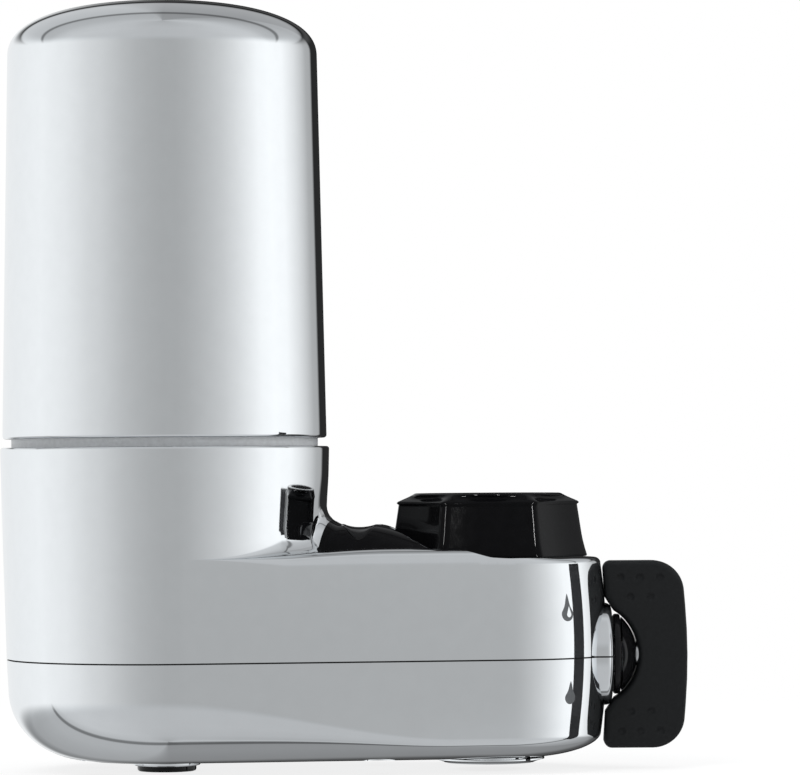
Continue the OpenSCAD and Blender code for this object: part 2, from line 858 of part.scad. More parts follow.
module inlet_screen() {
    color(steel)
        difference() {
            rod(6.3, -washer_t - 0.6, -washer_t - 0.05);
            for (i = [-3 : 3], j = [-3 : 3])
                if (i * i + j * j < 11)
                    translate([1.45 * i, 1.45 * j, -washer_t - 1])
                        cylinder(r = 0.5, h = 2, $fn = 16);
        }
}

// The spool and what rides on it
spool_end_x = 22.2;
tang_end_x = 28;
ring_x = [-7.2, 7, 13.2];
spool_groove_r = 4.45;

module spool_grooves(w) {
    for (x = ring_x)
        translate([x, 0, valve_z]) rotate([0, 90, 0])
            rotate_extrude($fn = 48) translate([spool_groove_r, -w / 2]) square([3, w]);
}

module diverter_spool() {
    color(light_grey)
        difference() {
            union() {
                cross_rod(spool_r, barrel_x0 + 5, spool_end_x);
                cross_rod(3.4, spool_end_x - 0.1, tang_end_x);
            }
            cross_rod(3, barrel_x0 + 5 - past, 3);
            translate([0, 0, valve_z]) rod(3, 0, spool_r + past);
            for (side = [-1, 1])
                translate([0, 0, valve_z])
                    rotate([side * 45, 0, 0])
                        translate([-3.4, -3.2, -spool_r - past])
                            cube([6.8, 6.4, 2 + past]);
            spool_grooves(1.2);
            translate([detent_x, 0, valve_z]) rotate([0, 90, 0])
                rotate_extrude($fn = 48) translate([4.7, -1.1]) square([3, 2.2]);
            for (a = [-45, 0, 45])
                translate([detent_x, 0, valve_z])
                    rotate([a, 0, 0]) translate([0, 0, 5.3]) sphere(r = 1.1, $fn = 24);
            cross_rod(1.1, tang_end_x - 6, tang_end_x + past);
            translate([spool_end_x + 0.5, -4, valve_z + 2.4]) cube([8, 8, 4]);
        }
}

module spool_seals() {
    color(seal_black)
        for (x = ring_x) translate([x, 0, valve_z]) rotate([0, 90, 0]) o_ring(5.02, 0.53);
}

detent_r = 1;
detent_c = 4.7 + detent_r + 0.08;
module detent_ball() {
    color(steel) translate([detent_x, 0, valve_z + detent_c]) sphere(r = detent_r, $fn = 32);
}

// Helical spring about Z from z0 up, with its wire as an eight-sided sweep
function coil_ring(r, wire, turns, h, n, k) =
    [
        for (q = [0 : 7])
            let (a = 360 * turns * k / n, rr = r + wire * cos(45 * q))
            [rr * cos(a), rr * sin(a), h * k / n + wire * sin(45 * q)]
    ];
module coil(r, wire, turns, h) {
    n = turns * 10;
    mirror([0, 1, 0]) skin([for (k = [0 : n]) coil_ring(r, wire, turns, h, n, k)]);
}

module detent_spring() {
    wire = 0.16;
    low = valve_z + detent_c + detent_r + wire + 0.02;
    color(steel) translate([detent_x, 0, low]) coil(0.85, wire, 6, turret_z - 0.8 - wire - 0.02 - low);
}

// Centre of the dome's sphere, so that its front just reaches the grip's bite
dome_x = 19.6;
flange_t = 1.4;
hub_gap = 0.3;
tang_h = 26;
tang_t = 2.4;
screw_room_r = 2.6;

module hub_tang(extra) {
    translate([27, -tang_t / 2 - extra, valve_z - tang_h / 2 - extra])
        cube([9 + extra, tang_t + 2 * extra, tang_h + 2 * extra]);
}

// The dome as part of a profile turned about X
dome_steps = 9;
function dome_profile() =
    [
        for (k = [0 : dome_steps])
            let (a = asin((hub_r - 0.6) / dome_r) * (1 - k / dome_steps))
            [dome_r * sin(a), dome_x + dome_r * cos(a)]
    ];

module turned_about_x(profile) {
    translate([0, 0, valve_z]) rotate([0, 90, 0]) rotate_extrude($fn = 72) polygon(profile);
}

module handle_hub() {
    flange_x = boss_x + hub_gap;
    screw_seat_x = 28.2;
    round_r = 0.5;
    rim = hub_r - round_r;
    color(black_plastic)
        difference() {
            union() {
                turned_about_x([
                    [0, flange_x],
                    for (k = [0 : 4]) [rim, flange_x + round_r] + polar(round_r, -90 + 22.5 * k),
                    for (k = [0 : 4]) [rim, flange_x + flange_t - round_r] + polar(round_r, 22.5 * k),
                    each dome_profile()
                ]);
                hub_tang(0);
            }
            cross_rod(3.5, flange_x - past, screw_seat_x - 0.1);
            cross_rod(1.6, 26, 30);
            cross_rod(screw_room_r, screw_seat_x + 0.8, 31.4);
        }
}

// The grip's outline in X and height about the diverter's axis, drawn in by an inset. Its wings
// reach over the boss, and the hub's dome stands in the round bite between them.
bite_r = 10.2;
bite_n = 12;
wing_x = 22.75;
wing_foot = [23.2, 11.4];
bite_x = boss_x + 0.45;
function grip_outline(inset) =
    let (
        h = grip_h / 2 - inset,
        x0 = wing_x + inset,
        x1 = grip_x - inset,
        r = bite_r + inset,
        tip_a = acos((bite_x + inset - dome_x) / r),
        bite = [for (k = [0 : bite_n]) [dome_x, 0] + polar(r, tip_a * (1 - 2 * k / bite_n))],
        foot = wing_foot + [inset, inset / 2],
        inner = 1.6 - inset * 0.8,
        outer = 6.4 - inset,
        left = [[x0, h], [x0, -h]],
        right = [[x1 - 1.4, -h], [x1 + 0.15, 0], [x1 - 1.4, h]]
    )
    concat(
        corner(right[2], left[0], foot, inner, 4),
        [foot],
        bite,
        [[foot.x, -foot.y]],
        corner([foot.x, -foot.y], left[1], right[0], inner, 4),
        corner(left[1], right[0], right[1], outer, 6),
        corner(right[0], right[1], right[2], 120, 4),
        corner(right[1], right[2], left[0], outer, 6)
    );

module handle_grip() {
    edge_r = 1.2;
    steps = [0, 30, 60, 90];
    half_t = grip_t / 2;
    color(grip_black)
        difference() {
            translate([0, 0, valve_z])
                rotate([90, 0, 0])
                    skin([
                        for (a = steps)
                            [for (p = grip_outline(edge_r * (1 - sin(a)))) [p.x, p.y, -half_t + edge_r * (1 - cos(a))]],
                        for (a = [90, 60, 30, 0])
                            [for (p = grip_outline(edge_r * (1 - sin(a)))) [p.x, p.y, half_t - edge_r * (1 - cos(a))]]
                    ]);
            hub_tang(0.02);
            cross_rod(screw_room_r, 28.5, 31.5);
        }
}

module handle_screw() {
    color(steel)
        translate([29.02, 0, valve_z])
            rotate([0, -90, 0])
                screw(2.4, 1.7, 1.05, 6.6);
}

// The dished top of the button follows the bridge
function button_top(x, y, dish) =
    surface_z(button_x + x, y) - 0.15
    - dish * max(0, 1 - pow(norm([x / (button_w / 2 - 0.4), y / (button_l / 2 - 1.2)]), 2));
function button_ring(s, z, inset) =
    [for (p = oval((button_w - 2 * inset) * s, (button_l - 2 * inset) * s)) [p.x, p.y, z]];
function button_top_ring(s, dish, inset) =
    [for (p = button_ring(s, 0, inset)) [p.x, p.y, button_top(p.x, p.y, dish)]];

latch_z = [-9.9, -7.9];

module release_button() {
    inset = 0.25;
    bottom = button_floor_z + button_travel + 0.2;
    color(black_plastic)
        translate([button_x, 0, 0])
            difference() {
                union() {
                    skin([
                        button_ring(1, bottom, inset),
                        button_top_ring(1, 0, inset),
                        for (s = [0.88, 0.72, 0.54, 0.36, 0.18]) button_top_ring(s, button_dish, inset),
                        button_ring(0.02, button_top(0, 0, button_dish), inset)
                    ]);
                    rotate([90, 0, 0])
                        translate([0, 0, -leg_w / 2])
                            linear_extrude(leg_w)
                                polygon([
                                    [-2, bottom + 0.3],
                                    [-2, -10.2],
                                    [-0.2, -10.2],
                                    [2.1, latch_z[1]],
                                    [2.1, bottom + 0.3]
                                ]);
                }
                for (side = [-1, 1])
                    translate([0, side * spring_y, 0]) rod(spring_hole_r, bottom - past, button_spring_top);
            }
}

module latch_slide() {
    tip_x = -36.2;
    back_x = -20.4;
    thick = latch_z[1] - latch_z[0];
    half_w = channel_half - 0.3;
    slope_x = button_x + 0.25;
    window_x = button_x - 2.3 - button_travel;
    color(white_plastic)
        difference() {
            union() {
                translate([-34, -half_w, latch_z[0]]) cube([back_x + 34, 2 * half_w, thick]);
                translate([tip_x, -4, latch_z[0]]) cube([3, 8, thick]);
            }
            rotate([90, 0, 0])
                translate([0, 0, -2.8])
                    linear_extrude(5.6)
                        polygon([
                            [window_x, latch_z[0] - past],
                            [slope_x - past, latch_z[0] - past],
                            [slope_x + thick + past, latch_z[1] + past],
                            [window_x, latch_z[1] + past]
                        ]);
        }
}

module button_springs() {
    wire = 0.22;
    turns = 5;
    low = spring_floor_z + wire + 0.03;
    high = button_spring_top - wire - 0.03;
    color(steel)
        for (side = [-1, 1])
            translate([button_x, side * spring_y, low]) coil(1, wire, turns, high - low);
}

module latch_cover() {
    top = ceiling_z - 0.05;
    color(white_plastic)
        difference() {
            translate([-33, -9, top - 1.2]) cube([14, 18, 1.2]);
            translate([button_x - 3, -3.2, top - 2]) cube([6.4, 6.4, 3]);
        }
}

filter_shell();
cartridge_canister();
cartridge_base();
carbon_block();
prefilter_sleeve();
top_end_cap();
bottom_end_cap();
cap_seal();
nipple_seal();
feed_seal();
base_housing();
base_bottom();
case_screws();
valve_body();
feed_duct();
outlet_duct();
filtered_nozzle();
nozzle_insert();
tap_outlet();
spray_plate();
outlet_screen();
mounting_collar();
inlet_stem();
inlet_washer();
inlet_screen();
diverter_spool();
spool_seals();
detent_ball();
detent_spring();
handle_hub();
handle_grip();
handle_screw();
release_button();
button_springs();
latch_slide();
latch_cover();
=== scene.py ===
import math

import bpy
import numpy as np
from mathutils import Matrix, Vector
from mathutils.bvhtree import BVHTree
from mathutils.geometry import delaunay_2d_cdt

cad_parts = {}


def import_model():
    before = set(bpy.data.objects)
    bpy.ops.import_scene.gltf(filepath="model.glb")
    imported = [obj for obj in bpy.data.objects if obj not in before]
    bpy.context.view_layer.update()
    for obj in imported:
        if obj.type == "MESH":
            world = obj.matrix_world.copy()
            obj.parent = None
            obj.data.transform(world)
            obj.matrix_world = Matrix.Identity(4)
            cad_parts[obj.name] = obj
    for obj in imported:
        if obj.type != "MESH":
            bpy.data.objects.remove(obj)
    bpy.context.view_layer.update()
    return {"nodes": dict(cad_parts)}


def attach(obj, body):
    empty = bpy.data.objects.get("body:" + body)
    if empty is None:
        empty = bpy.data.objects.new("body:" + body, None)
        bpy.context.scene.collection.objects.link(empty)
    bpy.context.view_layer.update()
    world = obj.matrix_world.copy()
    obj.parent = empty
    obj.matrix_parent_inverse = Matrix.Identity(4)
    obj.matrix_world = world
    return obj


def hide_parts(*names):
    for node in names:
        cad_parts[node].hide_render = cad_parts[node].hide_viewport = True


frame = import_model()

# Everything below is in millimetres, as in the part's source, and becomes metres in Shell.make.
MM = 0.001

# Values of the part's source that the pieces here follow
CART = -64.5
NOSE = 1.4
SPAN = NOSE - CART
SHELL_R, SHELL_TOP_R, SHELL_Z, SHELL_TOP_Z = 32.35, 30.9, 18.0, 105.0
DOME_H, DOME_POWER, SHELL_WALL = 11.0, 2.4, 1.4
RIM_R, RIM_Z, SEAM_R, SEAM_Z, SEAM_GAP = 32.86, 16.3, 31.76, -25.8, 0.3
NOSE_R = 22.2
BOTTOM_Z, CURVE_W, CURVE_H, NOSE_CURVE_H = -46.0, 16.0, 14.0, 5.0
WALL = 2.4
DECK_Z, LANDING_Z, LANDING_R = -4.0, -6.2, 20.8
SHOULDER, FOOT, BRIDGE_RISE = 3.5, 3.5, 5.1
VALVE_Z = -25.6
BOSS_R, BOSS_X, HUB_R, DOME_R, DOME_X = 10.2, 24.5, 8.0, 10.1, 19.6
GRIP_H, GRIP_X, GRIP_T = 37.4, 39.9, 6.4
THREAD_R = 10.9
BUTTON_X, BUTTON_W, BUTTON_L, BUTTON_DISH = -25.5, 8.6, 27.0, 1.1
LOW = SEAM_Z + SEAM_GAP / 2
HIGH = SEAM_Z - SEAM_GAP / 2
TOWER = np.array([CART, 0.0])


def clamp(v, lo=0.0, hi=1.0):
    return max(lo, min(hi, v))


def mix(a, b, t):
    return a + (b - a) * t


def ease(t):
    t = clamp(t)
    return t * t * (3 - 2 * t)


def tower_r(z):
    return mix(SEAM_R, RIM_R, (z - SEAM_Z) / (RIM_Z - SEAM_Z))


def side_r(z):
    return tower_r(z) if z > SEAM_Z else SEAM_R - 0.36 * min(1, (SEAM_Z - z) / 7)


def nose_side_r(z):
    return NOSE_R - 0.0043 * (z + 24) ** 2


def edge_z(x):
    return mix(mix(DECK_Z - 1.6, DECK_Z, ease((x + 52) / 32)), LANDING_Z, ease((x + 5) / 20))


def shoulder_at(x):
    """Size of the round at the deck's edge, smaller where the deck runs out on the tower."""
    return min(SHOULDER, edge_z(x) + 7.4)


def rise(x):
    return BRIDGE_RISE * (1 - ease((x + 26.5) / 26)) * ease((x + 58) / 12)


def bridge_w(x):
    return mix(14.5, 17.5, clamp((x + 28) / 13))


def surface_z(x, y):
    return edge_z(x) + rise(x) * max(0.0, 1 - (abs(y) / bridge_w(x)) ** 5)


# Stations round a section of the base, from the tip of the nose round by +Y
NOSE_N, FLANK_N, ARC_N = 30, 46, 40
HALF = NOSE_N + FLANK_N + ARC_N
RING = 2 * HALF


def section(rc, rn, i):
    """Point i of the outline of two circles, rc and rn, and their common tangents."""
    k = i if i <= HALF else RING - i
    a = math.acos((rc - rn) / SPAN)
    if k <= NOSE_N:
        q = a * k / NOSE_N
        x, y = NOSE + rn * math.cos(q), rn * math.sin(q)
    elif k < NOSE_N + FLANK_N:
        t = (k - NOSE_N) / FLANK_N
        t = t * (1.3 - 0.3 * t)
        x = mix(NOSE + rn * math.cos(a), CART + rc * math.cos(a), t)
        y = mix(rn, rc, t) * math.sin(a)
    else:
        q = mix(a, math.pi, (k - NOSE_N - FLANK_N) / ARC_N)
        x, y = CART + rc * math.cos(q), rc * math.sin(q)
    return (x, y) if i <= HALF else (x, -y)


def inset_of(x, y, rc, rn):
    """How far a point lies inside that outline."""
    a = math.acos((rc - rn) / SPAN)
    px, py = x - CART, abs(y)
    along = px * math.sin(a) - py * math.cos(a)
    if along < 0:
        return rc - math.hypot(px, py)
    if along > SPAN * math.sin(a):
        return rn - math.hypot(x - NOSE, py)
    return rc - (px * math.cos(a) + py * math.sin(a))


def unit(v):
    v = np.asarray(v, float)
    return v / np.maximum(np.linalg.norm(v, axis=-1, keepdims=True), 1e-12)


def tangents(p, axis, closed):
    """Directions along one axis of a grid of points, from a parabola through each three."""
    p = np.moveaxis(p, axis, 0)
    d = np.roll(p, -1, 0) - p if closed else np.diff(p, axis=0)
    h = np.maximum(np.linalg.norm(d, axis=-1, keepdims=True), 1e-9)
    u = d / h
    if closed:
        u0, h0 = np.roll(u, 1, 0), np.roll(h, 1, 0)
        t = (u0 * h + u * h0) / (h + h0)
    else:
        t = np.empty_like(p)
        t[0], t[-1] = u[0], u[-1]
        if len(u) > 1:
            t[1:-1] = (u[:-1] * h[1:] + u[1:] * h[:-1]) / (h[:-1] + h[1:])
            k = h[0] / (h[0] + h[1])
            t[0] = u[0] * (1 + k) - u[1] * k
            k = h[-1] / (h[-1] + h[-2])
            t[-1] = u[-1] * (1 + k) - u[-2] * k
    return np.moveaxis(t, 0, axis)


def grid_normals(p, closed=True):
    """Normals of a grid. They point out where the rows run up the outside and down the inside."""
    n = np.cross(tangents(p, 1, closed), tangents(p, 0, False))
    size = np.linalg.norm(n, axis=2)
    n = unit(n)
    for row, near in ((0, 1), (-1, -2)):
        if size[row].max() < 1e-6:
            n[row] = unit(n[near].mean(0))
    return n


def inside(points, loop):
    """Whether each point lies in a closed loop."""
    x, y = points[:, 0], points[:, 1]
    result = np.zeros(len(points), bool)
    for (ax, ay), (bx, by) in zip(loop, loop[1:] + loop[:1]):
        if ay == by:
            continue
        crosses = (ay > y) != (by > y)
        result ^= crosses & (x < (bx - ax) * (y - ay) / (by - ay) + ax)
    return result


def triangles(loops, extra=()):
    """Triangles over the first loop less the others, through the extra points too."""
    points, edges = [], []
    for loop in loops:
        first, n = len(points), len(loop)
        points += [tuple(p[:2]) for p in loop]
        edges += [(first + k, first + (k + 1) % n) for k in range(n)]
    points += [tuple(p[:2]) for p in extra]
    made = delaunay_2d_cdt([Vector(p) for p in points], edges, [], 0, 1e-7)
    source = [ids[0] if ids else -1 for ids in made[3]]
    faces = [f for f in ([source[k] for k in face] for face in made[2]) if min(f) >= 0]
    middle = np.array([[sum(points[k][c] for k in f) / len(f) for c in (0, 1)] for f in faces])
    keep = inside(middle, [tuple(p[:2]) for p in loops[0]])
    for loop in loops[1:]:
        keep &= ~inside(middle, [tuple(p[:2]) for p in loop])
    return [f for f, k in zip(faces, keep) if k]


class Shell:
    """A mesh joined from smooth surfaces that each keep their own normals."""

    def __init__(self):
        self.points, self.index, self.faces, self.normals, self.marks = [], {}, [], [], []
        self.mark = 0

    def vertex(self, p):
        key = (round(p[0] * 4000), round(p[1] * 4000), round(p[2] * 4000))
        if key not in self.index:
            self.index[key] = len(self.points)
            self.points.append((float(p[0]), float(p[1]), float(p[2])))
        return self.index[key]

    def add(self, points, normals, faces):
        ids = [self.vertex(p) for p in points]
        where = self.points
        for face in faces:
            ring, seen = [], set()
            for k in face:
                if ids[k] not in seen:
                    seen.add(ids[k])
                    ring.append(k)
            if len(ring) < 3:
                continue
            a, b, c = (np.array(where[ids[k]]) for k in (ring[0], ring[1], ring[-1]))
            n = np.cross(b - a, c - a)
            if np.linalg.norm(n) < 1e-9:
                continue
            if np.dot(n, sum(np.asarray(normals[k]) for k in ring)) < 0:
                ring.reverse()
            self.faces.append([ids[k] for k in ring])
            self.marks.append(self.mark)
            self.normals += [tuple(normals[k]) for k in ring]

    def grid(self, p, closed=True, normals=None, skip=None, flip=False):
        p = np.asarray(p, float)
        n = grid_normals(p, closed) if normals is None else normals
        n = -n if flip else n
        rows, cols = p.shape[:2]
        faces = []
        for r in range(rows - 1):
            for c in range(cols if closed else cols - 1):
                if skip is not None and skip(r, c):
                    continue
                d = (c + 1) % cols
                faces.append([r * cols + c, r * cols + d, (r + 1) * cols + d, (r + 1) * cols + c])
        self.add(p.reshape(-1, 3), n.reshape(-1, 3), faces)

    def flat(self, loops, z, normal, extra=()):
        """Flat patch over the first loop less the others, at height z."""
        points = [(p[0], p[1], z) for loop in loops for p in loop] + [(p[0], p[1], z) for p in extra]
        self.add(points, [normal] * len(points), triangles(loops, extra))

    def turn(self, profile, at=(0, 0), n=96, about="Z", span=None):
        """Turns stretches of (radius, height) about Z, or about X at the diverter's height."""
        closed = span is None
        a = np.linspace(0, 2 * math.pi, n, endpoint=False) if closed else np.linspace(span[0], span[1], n)
        for stretch in profile:
            rows = []
            for r, z in stretch:
                if about == "Z":
                    rows.append(np.stack([at[0] + r * np.cos(a), at[1] + r * np.sin(a), np.full(n, z)], 1))
                else:
                    rows.append(np.stack([np.full(n, z), r * np.cos(a), VALVE_Z + r * np.sin(a)], 1))
            self.grid(np.array(rows), closed)

    def make(self, name, material, body, slot, *nodes, second=None):
        mesh = bpy.data.meshes.new(name)
        mesh.from_pydata([tuple(c * MM for c in p) for p in self.points], [], self.faces)
        mesh.polygons.foreach_set("use_smooth", [True] * len(mesh.polygons))
        mesh.normals_split_custom_set(self.normals)
        mesh.materials.append(material)
        if second is not None:
            mesh.materials.append(second)
            mesh.polygons.foreach_set("material_index", self.marks)
        mesh.update()
        piece = bpy.data.objects.new(name, mesh)
        bpy.context.scene.collection.objects.link(piece)
        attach(piece, body)
        if nodes:
            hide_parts(*nodes)
        return piece


def arc(cx, cz, r, a0, a1, n):
    """Points of an arc of a profile, in degrees from the outward direction."""
    return [
        (cx + r * math.cos(math.radians(mix(a0, a1, k / n))), cz + r * math.sin(math.radians(mix(a0, a1, k / n))))
        for k in range(n + 1)
    ]


def circle(cx, cy, r, n):
    return [(cx + r * math.cos(2 * math.pi * k / n), cy + r * math.sin(2 * math.pi * k / n)) for k in range(n)]


# Materials

def node(tree, kind, **values):
    made = tree.nodes.new(kind)
    for key, value in values.items():
        if key in made.inputs:
            made.inputs[key].default_value = value
        else:
            setattr(made, key, value)
    return made


def material(name, colour, roughness, metallic=0.0, grain=900.0, colour_change=0.06, rough_change=0.04,
             bump=0.0, bump_scale=2500.0, wave=0.0, coat=0.0, specular=0.5):
    """Principled finish whose colour and roughness vary a little, with a fine grain and a slow wave in its normals."""
    mat = bpy.data.materials.new(name)
    mat.use_nodes = True
    tree = mat.node_tree
    tree.nodes.clear()
    out = tree.nodes.new("ShaderNodeOutputMaterial")
    bsdf = tree.nodes.new("ShaderNodeBsdfPrincipled")
    bsdf.inputs["Metallic"].default_value = metallic
    bsdf.inputs["Specular IOR Level"].default_value = specular
    if coat:
        bsdf.inputs["Coat Weight"].default_value = coat
        bsdf.inputs["Coat Roughness"].default_value = 0.04
    place = tree.nodes.new("ShaderNodeTexCoord")
    noise = node(tree, "ShaderNodeTexNoise", Scale=grain, Detail=3.0)
    tree.links.new(place.outputs["Object"], noise.inputs["Vector"])
    tint = tree.nodes.new("ShaderNodeValToRGB")
    dark = [c * (1 - colour_change) for c in colour]
    light = [min(1.0, c * (1 + colour_change)) for c in colour]
    tint.color_ramp.elements[0].position = 0.3
    tint.color_ramp.elements[0].color = (*dark, 1)
    tint.color_ramp.elements[1].position = 0.7
    tint.color_ramp.elements[1].color = (*light, 1)
    tree.links.new(noise.outputs["Fac"], tint.inputs["Fac"])
    tree.links.new(tint.outputs["Color"], bsdf.inputs["Base Color"])
    rough = node(tree, "ShaderNodeMapRange")
    rough.inputs["To Min"].default_value = max(0.0, roughness - rough_change)
    rough.inputs["To Max"].default_value = roughness + rough_change
    tree.links.new(noise.outputs["Fac"], rough.inputs["Value"])
    tree.links.new(rough.outputs["Result"], bsdf.inputs["Roughness"])
    last = None
    for strength, scale, distance in ((bump, bump_scale, 0.0001), (wave, 60.0, 0.001)):
        if strength:
            texture = node(tree, "ShaderNodeTexNoise", Scale=scale, Detail=2.0)
            tree.links.new(place.outputs["Object"], texture.inputs["Vector"])
            relief = node(tree, "ShaderNodeBump", Strength=strength, Distance=distance)
            tree.links.new(texture.outputs["Fac"], relief.inputs["Height"])
            if last is not None:
                tree.links.new(last.outputs["Normal"], relief.inputs["Normal"])
            last = relief
    if last is not None:
        tree.links.new(last.outputs["Normal"], bsdf.inputs["Normal"])
    tree.links.new(bsdf.outputs["BSDF"], out.inputs["Surface"])
    return mat


chrome = material("chrome", (0.80, 0.82, 0.835), 0.035, 1.0, grain=300.0, colour_change=0.01, rough_change=0.012)
black_gloss = material("black_gloss", (0.004, 0.004, 0.0045), 0.07, grain=500.0, colour_change=0.15,
                       rough_change=0.02, wave=0.01, specular=0.2)
black_collar = material("black_collar", (0.003, 0.003, 0.0034), 0.06, grain=500.0, colour_change=0.15,
                        rough_change=0.02, wave=0.01, specular=0.05)
black_grip = material("black_grip", (0.006, 0.0067, 0.0073), 0.5, grain=1600.0, colour_change=0.2,
                      rough_change=0.06, bump=0.3, bump_scale=9000.0, specular=0.22)
grey_plastic = material("grey_plastic", (0.55, 0.565, 0.58), 0.35, grain=1200.0, bump=0.08)
white_plastic = material("white_plastic", (0.78, 0.78, 0.75), 0.4, grain=1200.0, bump=0.08)
seal_rubber = material("seal_rubber", (0.02, 0.02, 0.022), 0.62, grain=2000.0, colour_change=0.15, bump=0.2)
steel = material("steel", (0.56, 0.57, 0.58), 0.24, 1.0, grain=2500.0, rough_change=0.08, bump=0.08)
carbon = material("carbon", (0.028, 0.028, 0.03), 0.85, grain=2600.0, colour_change=0.45, bump=0.7,
                  bump_scale=5200.0)
fleece = material("fleece", (0.72, 0.72, 0.69), 0.8, grain=3000.0, colour_change=0.12, bump=0.5,
                  bump_scale=7000.0)
# Dark colour for the faces inside the seam between the casings: painted shade of the gap
groove = material("groove", (0.05, 0.05, 0.052), 0.5, grain=1500.0, colour_change=0.1)
print_ink = material("print_ink", (0.075, 0.08, 0.085), 0.42, grain=2500.0, colour_change=0.1)

FINISH = {
    "cartridge_canister": white_plastic, "cartridge_base": grey_plastic, "carbon_block": carbon,
    "prefilter_sleeve": fleece, "top_end_cap": white_plastic, "bottom_end_cap": white_plastic,
    "cap_seal": seal_rubber, "nipple_seal": seal_rubber, "feed_seal": seal_rubber,
    "case_screws": steel, "valve_body": white_plastic, "feed_duct": white_plastic,
    "outlet_duct": white_plastic, "filtered_nozzle": chrome, "nozzle_insert": black_gloss,
    "tap_outlet": chrome, "spray_plate": black_gloss, "outlet_screen": steel,
    "inlet_stem": white_plastic, "inlet_washer": seal_rubber, "inlet_screen": steel,
    "diverter_spool": grey_plastic, "spool_seals": seal_rubber, "detent_ball": steel,
    "detent_spring": steel, "handle_screw": steel, "button_springs": steel,
    "latch_slide": white_plastic, "latch_cover": white_plastic,
    "filter_shell": chrome, "base_housing": chrome, "base_bottom": chrome,
    "mounting_collar": black_gloss, "release_button": black_gloss,
    "handle_hub": black_gloss, "handle_grip": black_grip,
}
for name, finish in FINISH.items():
    mesh = frame["nodes"][name].data
    mesh.materials.clear()
    mesh.materials.append(finish)


# The cartridge's chrome shell

def dome(inset, n):
    e = 2 / DOME_POWER
    out = []
    for k in range(n + 1):
        a = math.radians(90 * (1 - (1 - k / n) ** 1.5))
        c, s = max(0.0, math.cos(a)), math.sin(a)
        out.append(((SHELL_TOP_R - inset) * c ** e, SHELL_TOP_Z - DOME_H + (DOME_H - inset) * s ** e))
    out[-1] = (0.0, out[-1][1])
    return out


def filter_shell():
    shell = Shell()
    edge = 0.6
    outside = arc(SHELL_R - edge, SHELL_Z + edge, edge, -90, 0, 6)
    outside += [(mix(SHELL_R, SHELL_TOP_R, k / 24), mix(SHELL_Z + edge, SHELL_TOP_Z - DOME_H, k / 24))
                for k in range(1, 24)]
    outside += dome(0, 56)
    inside_top = dome(SHELL_WALL, 24)[::-1]
    shell.turn([
        [(31.0, SHELL_Z), outside[0]],
        outside,
        inside_top + [(SHELL_R - 0.6 - SHELL_WALL, 22.0)],
        [(SHELL_R - 0.6 - SHELL_WALL, 22.0), (31.0, 22.0)],
        [(31.0, 22.0), (31.0, SHELL_Z)],
    ], at=(CART, 0), n=192)
    return shell.make("filter_shell_skin", chrome, "cartridge", "chrome", "filter_shell")


filter_shell()


# The upper casing

SHOULDER_N, DECK_N, FOOT_N = 9, 12, 8
LEDGE_N = SHOULDER_N + DECK_N + FOOT_N + 1
WALL_R = side_r(DECK_Z)
WALL_NOSE_R = nose_side_r(DECK_Z - SHOULDER)
OUTLINE = [section(WALL_R, WALL_NOSE_R, i) for i in range(RING)]
OUT_ANGLE = [math.atan2(p[1], p[0] - CART) for p in OUTLINE]
GAP = [max(0.0, math.hypot(p[0] - CART, p[1]) - WALL_R) for p in OUTLINE]


def deck_column(i):
    """Points of the ledge at station i where the deck stands clear of the tower."""
    s, f = min(shoulder_at(OUTLINE[i][0]), 0.42 * GAP[i]), min(FOOT, 0.42 * GAP[i])
    a = OUT_ANGLE[i]
    out = []
    for j in range(SHOULDER_N + 1):
        q = math.radians(90 * j / SHOULDER_N)
        cut = s * (1 - math.cos(q))
        x, y = section(WALL_R - cut, WALL_NOSE_R - cut, i)
        out.append((x, y, edge_z(x) - s * (1 - math.sin(q))))
    fx, fy = CART + (WALL_R + f) * math.cos(a), (WALL_R + f) * math.sin(a)
    ix, iy = out[-1][:2]
    for j in range(1, DECK_N + 1):
        v = (1 - j / DECK_N) ** 1.8
        x, y = mix(fx, ix, v), mix(fy, iy, v)
        out.append((x, y, surface_z(x, y)))
    for j in range(1, FOOT_N + 1):
        q = math.radians(90 * j / FOOT_N)
        r = WALL_R + f * (1 - math.sin(q))
        out.append((CART + r * math.cos(a), r * math.sin(a), surface_z(fx, fy) + f * (1 - math.cos(q))))
    return out


def deck_height(x, y):
    """Height of the deck over a point where its shoulder and foot have their full size."""
    d = inset_of(x, y, WALL_R, WALL_NOSE_R)
    t = math.hypot(x - CART, y) - WALL_R
    if t < FOOT:
        k = (WALL_R + FOOT) / (t + WALL_R)
        t = max(t, 0.0)
        return surface_z(CART + (x - CART) * k, y * k) + FOOT - math.sqrt(FOOT ** 2 - (FOOT - t) ** 2)
    s = shoulder_at(x)
    if d < s:
        d = max(d, 0.0)
        return edge_z(x) - s + math.sqrt(s ** 2 - (s - d) ** 2)
    return surface_z(x, y)


def surface_normal(height, x, y, h=0.01):
    gx = (height(x + h, y) - height(x - h, y)) / (2 * h)
    gy = (height(x, y + h) - height(x, y - h)) / (2 * h)
    return unit([-gx, -gy, 1.0])


def oval(w, l, n=72):
    return [(w / 2 * math.cos(2 * math.pi * k / n), l / 2 * math.sin(2 * math.pi * k / n)) for k in range(n)]


